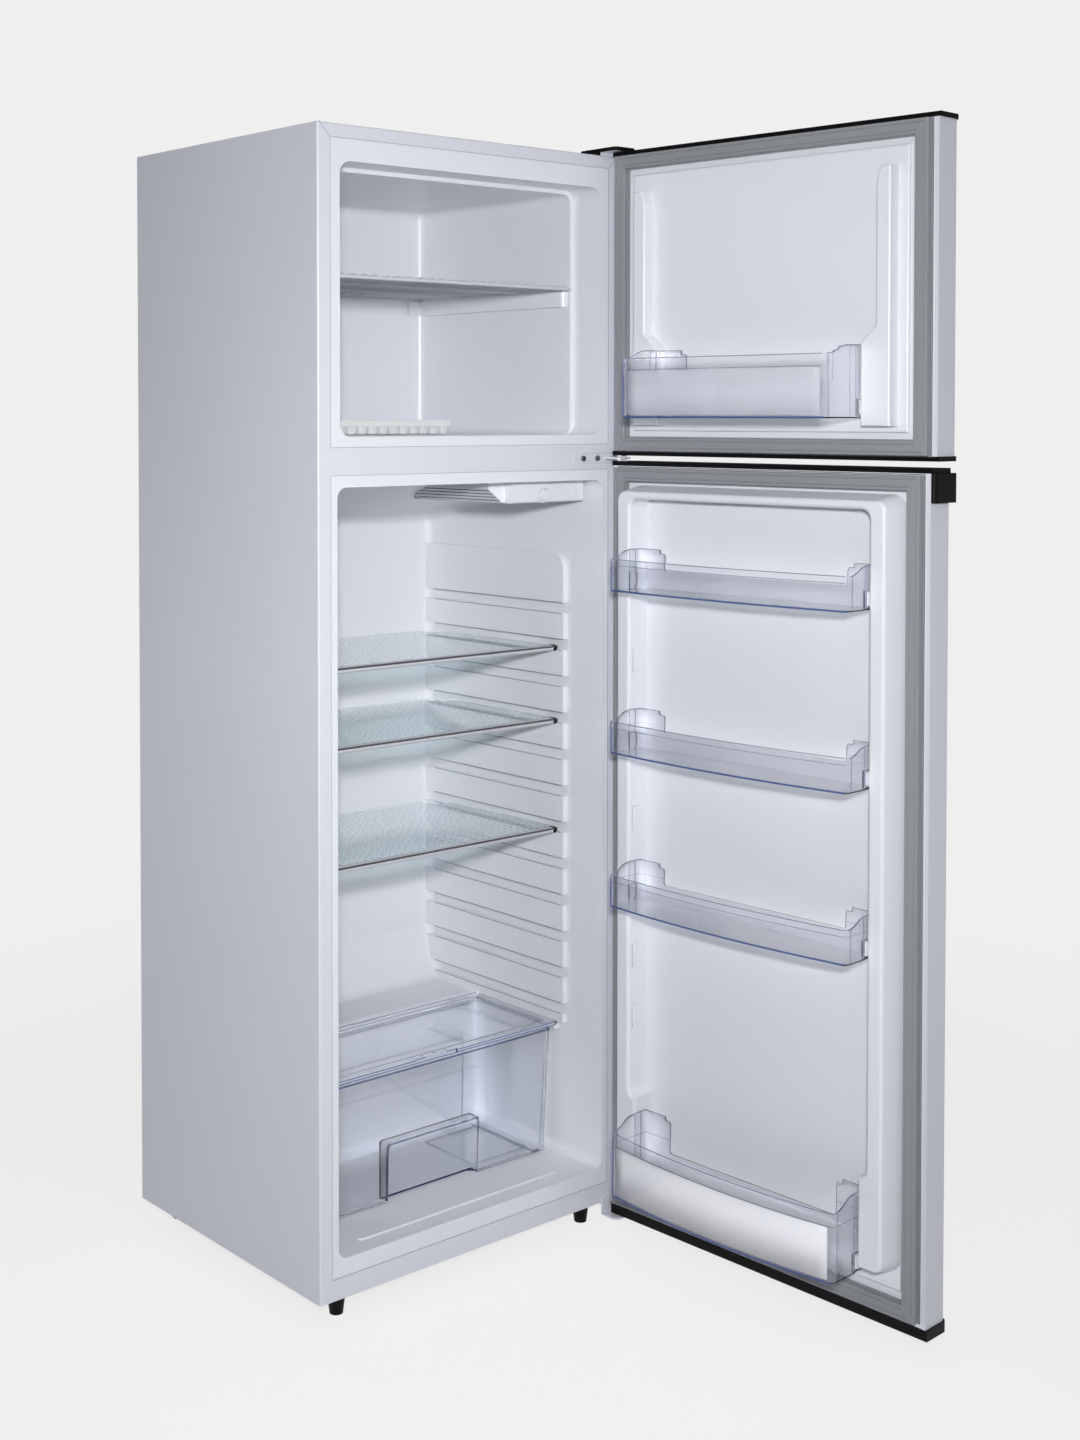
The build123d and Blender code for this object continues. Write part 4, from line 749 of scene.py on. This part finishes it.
lines += [
    # the rear wall's rim and fold, then the sunk panel in the floor
    ([(-half + 0.012, rear, crown - 0.0030), (half - 0.012, rear, crown - 0.0030)], crisper["rearRadius"]),
    ([(-half + 0.030, rear, fold), (half - 0.030, rear, fold), (half - 0.036, rear - 0.003, base + 0.0100)],
     crisper["foldRadius"]),
    ([(panLeft, panNear, panLevel), (panRight, panNear, panLevel),
      (panRight, panFar, panLevel), (panLeft, panFar, panLevel)], crisper["panRadius"], True)]
settle(addBeads(lines), "crisper_paintedEdgeShades", "styrenePaintedRimShade", "crisper", None)
# painted glow: a blue bead along the front rim
paintedRimGlow = addBead([(side * (half - crisper["rimEnd"]), crisper["front"] - 0.0003, crown - 0.0010)
                   for side in (-1, 1)], crisper["rimRadius"])
settle(paintedRimGlow, "crisper_rimEdge", "styrenePaintedEdgeGlow", "crisper", None)

# Its cover: a blue painted glow along the front edge, broken by the finger notch, and at its foot, a lighter
# painted face strip between them, grey painted shade lines round the sunk pan, down one side and along the
# back, and three dark pips whose darkness is painted shade
cover = {"half": 0.242, "front": 0.093, "back": 0.2877, "low": 0.2873, "high": 0.2930, "rim": 0.016,
         "notch": 0.039, "notchLead": 0.003, "notchDeep": 0.004, "ends": 0.006, "face": 0.0005,
         "proud": 0.0002, "litDrop": 0.001, "litRadius": 0.0007, "lowRise": 0.0008, "lowRadius": 0.0006,
         "frameRadius": 0.0006, "sideRadius": 0.0010, "backRadius": 0.0009,
         "pipX": 0.022, "pipBack": 0.010, "pipRise": 0.0006, "pipRadius": 0.0013}
front, high = cover["front"], cover["high"]
edgeHalf = cover["half"] - cover["ends"]
litLevel, notchBack, face = high - cover["litDrop"], front + cover["notchDeep"], front - cover["proud"]
# painted glow: blue beads along the top of the front edge and at its foot
coverLines = [([(side * edgeHalf, front, litLevel),
                (side * (cover["notch"] + cover["notchLead"]), front, litLevel),
                (side * cover["notch"], notchBack, litLevel),
                (side * cover["notch"] * 0.5, notchBack, litLevel)], cover["litRadius"]) for side in (-1, 1)]
lowerEdge = (face, cover["low"] + cover["lowRise"])
coverLines.append(([(-edgeHalf, *lowerEdge), (edgeHalf, *lowerEdge)], cover["lowRadius"]))
settle(addBeads(coverLines), "crisperCover_paintedEdgeGlow", "styrenePaintedEdgeGlow", "cabinet", None)

# painted glow: a lighter strip laid over the front face
faceSpans = [(-edgeHalf, -cover["notch"], face), (cover["notch"], edgeHalf, face),
             (-cover["notch"], cover["notch"], notchBack - cover["proud"])]
faces = [addBlock((left, near, cover["low"]), (right, near + cover["face"], high), 0.0001, 1)
         for left, right, near in faceSpans]
settle(join(faces), "crisperCover_paintedFaceGlow", "styrenePaintedFaceGlow", "cabinet", None)

# painted shade: grey lines round the pan, down one side and along the back
inner, near, far = cover["half"] - cover["rim"], front + cover["rim"], cover["back"] - cover["rim"]
frameLines = [([(-inner, near, high), (inner, near, high), (inner, far, high), (-inner, far, high)],
               cover["frameRadius"], True),
              ([(cover["half"] - 0.001, front + 0.006, high),
                (cover["half"] - 0.001, cover["back"] - 0.004, high)], cover["sideRadius"]),
              ([(-cover["half"] + 0.004, cover["back"] - 0.001, high),
                (cover["half"] - 0.004, cover["back"] - 0.001, high)], cover["backRadius"])]
settle(addBeads(frameLines), "crisperCover_paintedFrameShade", "styrenePaintedRimShade", "cabinet", None)
# painted shade: three dark pips
pips = [([(x, front + cover["pipBack"], high + rise) for rise in (-cover["pipRise"], cover["pipRise"])],
         cover["pipRadius"], False, 3) for x in (-cover["pipX"], 0.0, cover["pipX"])]
settle(addBeads(pips), "crisperCover_paintedPipShades", "styrenePaintedEdgeShade", "cabinet", None)
print("stage: crisper edges")


# Glass shelves: a bright rounded trim on the front edge, closed by a dark cap at each end, with a dark bead
# along the top of its face that is a painted dark reflection
shelfTrim = {"half": 0.2397, "front": 0.0945, "depth": 0.0135, "height": 0.0090, "round": 0.0040,
             "endGap": 0.003, "capWide": 0.0030, "capProud": 0.0002, "capRound": 0.0012,
             "shadeDrop": 0.0022, "shadeIn": 0.0006, "shadeRadius": 0.0016}
front, back = shelfTrim["front"], shelfTrim["front"] + shelfTrim["depth"]
trimHalf = shelfTrim["half"] - shelfTrim["endGap"]

for name in ("upper", "middle", "lower"):
    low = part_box(f"{name}_shelf_trim")[0].z
    high = low + shelfTrim["height"]
    trim = addBlock((-trimHalf, front, low), (trimHalf, back, high), shelfTrim["round"], 6)
    settle(smooth(trim), f"{name}_shelfTrim", "anodisedTrim", f"{name}_shelf", None)
    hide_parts(f"{name}_shelf_trim")
    # painted reflection: a dark bead along the top of the trim's face
    shade = (front + shelfTrim["shadeIn"], high - shelfTrim["shadeDrop"])
    shadeLine = addBead([(-trimHalf, *shade), (trimHalf, *shade)], shelfTrim["shadeRadius"])
    settle(shadeLine, f"{name}_shelfTrimPaintedReflection", "trimShade", f"{name}_shelf")
    caps = []
    for side in (-1, 1):
        left, right = sorted((side * (shelfTrim["half"] - shelfTrim["capWide"]), side * shelfTrim["half"]))
        caps.append(addBlock((left, front - 0.0001, low - shelfTrim["capProud"]),
                             (right, back, high + shelfTrim["capProud"]), shelfTrim["capRound"], 3))
    settle(join(caps), f"{name}_shelfTrimCaps", "blackPolypropylene", f"{name}_shelf")
print("stage: shelf trims")


# Ice tray: two rows of cups pressed down from one thin sheet, with a skirt round its rim
iceTray = {"left": -0.124, "front": 0.200, "length": 0.240, "width": 0.100, "rim": 1.2333, "cups": 12,
           "margin": 0.0012, "draft": 0.0026, "drop": 0.0195, "skirt": 0.0098, "wall": 0.0011,
           "lip": 0.004, "floorRound": 0.0015, "floorSink": 0.0008, "skirtFlare": (1.012, 1.028, 1),
           "soft": 0.0004}
deselectAll()
trayMiddle = place(iceTray["left"] + iceTray["length"] / 2, iceTray["front"] + iceTray["width"] / 2,
                   iceTray["rim"])
bpy.ops.mesh.primitive_grid_add(x_subdivisions=iceTray["cups"], y_subdivisions=2, size=1, location=trayMiddle)
tray = bpy.context.object
tray.scale = (iceTray["length"] - iceTray["lip"], iceTray["width"] - iceTray["lip"], 1)
bpy.ops.object.transform_apply(location=True, rotation=True, scale=True)
bpy.ops.object.mode_set(mode="EDIT")
bpy.ops.mesh.select_mode(type="FACE")
bpy.ops.mesh.inset(thickness=iceTray["margin"], depth=0, use_individual=True)
bpy.ops.mesh.inset(thickness=iceTray["draft"], depth=-iceTray["drop"], use_individual=True)
bpy.ops.mesh.inset(thickness=iceTray["floorRound"], depth=-iceTray["floorSink"], use_individual=True)
bpy.ops.mesh.select_mode(type="EDGE")
bpy.ops.mesh.select_all(action="DESELECT")
bpy.ops.mesh.select_non_manifold()
bpy.ops.mesh.extrude_edges_move(TRANSFORM_OT_translate={"value": (0, 0, -iceTray["skirt"])})
bpy.ops.transform.resize(value=iceTray["skirtFlare"])
bpy.ops.object.mode_set(mode="OBJECT")
shellWall = tray.modifiers.new("wall", "SOLIDIFY")
shellWall.thickness, shellWall.offset = iceTray["wall"], -1
softEdge = tray.modifiers.new("edge", "BEVEL")
softEdge.width, softEdge.segments, softEdge.limit_method = iceTray["soft"], 2, "ANGLE"
bpy.ops.object.modifier_apply(modifier="wall")
bpy.ops.object.modifier_apply(modifier="edge")
settle(smooth(tray), "iceTray", "frostedPolypropylene", "ice_tray", None)
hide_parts("ice_tray")
print("stage: ice tray")


# Lamp cover ribs, which run front to back along its slanted side, as dark beads: their stripes are painted
# shade
lens = {"left": 0.060, "right": 0.086, "top": 1.1318, "low": 1.1122, "front": 0.050, "length": 0.190,
        "ribs": 4, "radius": 0.0010}
ribs = []
for number in range(lens["ribs"]):
    share = (number + 0.5) / lens["ribs"]
    x = lens["left"] + (lens["right"] - lens["left"]) * share
    z = lens["top"] + (lens["low"] - lens["top"]) * share
    ribs.append(([(x, lens["front"], z), (x, lens["front"] + lens["length"], z)], lens["radius"]))
settle(addBeads(ribs), "lampCover_ribShades", "lensRibShade", "cabinet", None)
print("stage: lamp cover ribs")


# Shelf grooves in the side walls, each closed above and below by a soft shadow line
grooves = {"face": 0.2400, "front": 0.0840, "back": 0.3970, "first": 0.9500, "pitch": 0.0570, "count": 12,
           "height": 0.0170, "radius": 0.0007}
grooveLines = []
for number in range(grooves["count"]):
    level = grooves["first"] - number * grooves["pitch"]
    for side in (-1, 1):
        for z in (level, level - grooves["height"]):
            ends = [(side * grooves["face"], y, z) for y in (grooves["front"], grooves["back"])]
            grooveLines.append((ends, grooves["radius"]))
settle(addBeads(grooveLines), "grooveShades", "grooveShade", "cabinet")
print("stage: shelf grooves")


# Seams where the painted flange and rails lap the liners, the mitres at its upper corners, and the outline of
# the middle hinge's plate, all drawn as thin dark beads: painted shadow in the gaps
seams = {"half": 0.2590, "radius": 0.0004, "y": 0.00015, "levels": [(1.1972, 1.6144), (0.0626, 1.1593)],
         "mitre": 0.0195, "plate": (0.206, 0.280, 1.1684, 1.1834), "plateY": -0.0001}


def uprightLoop(left, right, y, low, high):
    return [(left, y, low), (right, y, low), (right, y, high), (left, y, high)]


half, crest = seams["half"], seams["levels"][0][1]
seamBeads = [(uprightLoop(-half, half, seams["y"], low, high), seams["radius"], True)
             for low, high in seams["levels"]]
seamBeads += [([(side * half, seams["y"], crest),
                (side * (half + seams["mitre"]), seams["y"], crest + seams["mitre"])], seams["radius"])
              for side in (-1, 1)]
left, right, low, high = seams["plate"]
seamBeads.append((uprightLoop(left, right, seams["plateY"], low, high), seams["radius"], True))
settle(addBeads(seamBeads), "flangeSeamShadows", "seamShadow", "cabinet")
# Door seal gap: a dark bead round each door where the seal meets the skin, painted shade in the gap
doorGapShade = {"half": 0.2712, "y": -0.0124, "radius": 0.0008, "inset": 0.0012}
for door, (low, high) in seal["levels"].items():
    loop = uprightLoop(-doorGapShade["half"], doorGapShade["half"], doorGapShade["y"],
                       low - doorGapShade["inset"], high + doorGapShade["inset"])
    settle(addBead(loop, doorGapShade["radius"], True), f"{door}_sealGroove", "sealGrooveShade", door, door)
print("stage: seams")


# Unused bin lugs formed in the fridge door's side ribs, between the bins
lugs = {"face": 0.2122, "proud": 0.0018, "front": 0.0070, "width": 0.012, "height": 0.034, "round": 0.0007,
        "levels": (0.877, 0.642, 0.437, 0.345), "shadeIn": 0.0004, "shade": 0.0005}
near, far = lugs["front"], lugs["front"] + lugs["width"]
lugBlocks, lugShades = [], []
for side in (-1, 1):
    for level in lugs["levels"]:
        low, high = level - lugs["height"] / 2, level + lugs["height"] / 2
        left, right = sorted((side * lugs["face"], side * (lugs["face"] - lugs["proud"])))
        lugBlocks.append(addBlock((left, near, low), (right, far, high), lugs["round"], 3))
        foot = side * (lugs["face"] - lugs["shadeIn"])
        lugShades.append(([(foot, near, low), (foot, far, low), (foot, far, high), (foot, near, high)],
                          lugs["shade"], True))
settle(smooth(join(lugBlocks)), "fridgeDoor_binLugs", "formedPolystyrene", "fridge_door", "fridge_door")
settle(addBeads(lugShades), "fridgeDoor_binLugShades", "grooveShade", "fridge_door", "fridge_door")
print("stage: bin lugs")


# Flat-headed screws down both edges of the back panel, cross-slotted; each slot is a flush black block,
# painted shade where the recess would be
rearScrew = {"x": 0.259, "y": 0.47135, "low": 0.290, "count": 6, "step": 0.2620, "radius": 0.0042,
             "height": 0.0005, "round": 0.00015, "slot": 0.0011, "slotReach": 0.0024, "slotDeep": 0.0003,
             "slotProud": 0.00003}


def addRearScrew(x, z):
    deselectAll()
    middle = place(x, rearScrew["y"] + rearScrew["height"] / 2, z)
    bpy.ops.mesh.primitive_cylinder_add(vertices=32, radius=rearScrew["radius"], depth=rearScrew["height"],
                                        location=middle, rotation=(math.radians(90), 0, 0))
    head = bpy.context.object
    bpy.ops.object.mode_set(mode="EDIT")
    bpy.ops.mesh.bevel(offset=rearScrew["round"], segments=2, affect="EDGES")
    bpy.ops.object.mode_set(mode="OBJECT")
    face = rearScrew["y"] + rearScrew["height"]
    short, long = rearScrew["slot"] / 2, rearScrew["slotReach"]
    cross = [addBlock((x - wide, face - rearScrew["slotDeep"], z - tall),
                      (x + wide, face + rearScrew["slotProud"], z + tall), 0.0001, 1)
             for wide, tall in ((short, long), (long, short))]
    return head, cross


heads, slots = [], []
for side in (-1, 1):
    for number in range(rearScrew["count"]):
        head, cross = addRearScrew(side * rearScrew["x"], rearScrew["low"] + number * rearScrew["step"])
        heads.append(head)
        slots.extend(cross)
settle(smooth(join(heads)), "backPanel_screws", "zincScrew", "cabinet", None)
settle(join(slots), "backPanel_screwSlotShades", "blackEnamel", "cabinet")
print("stage: back panel screws")

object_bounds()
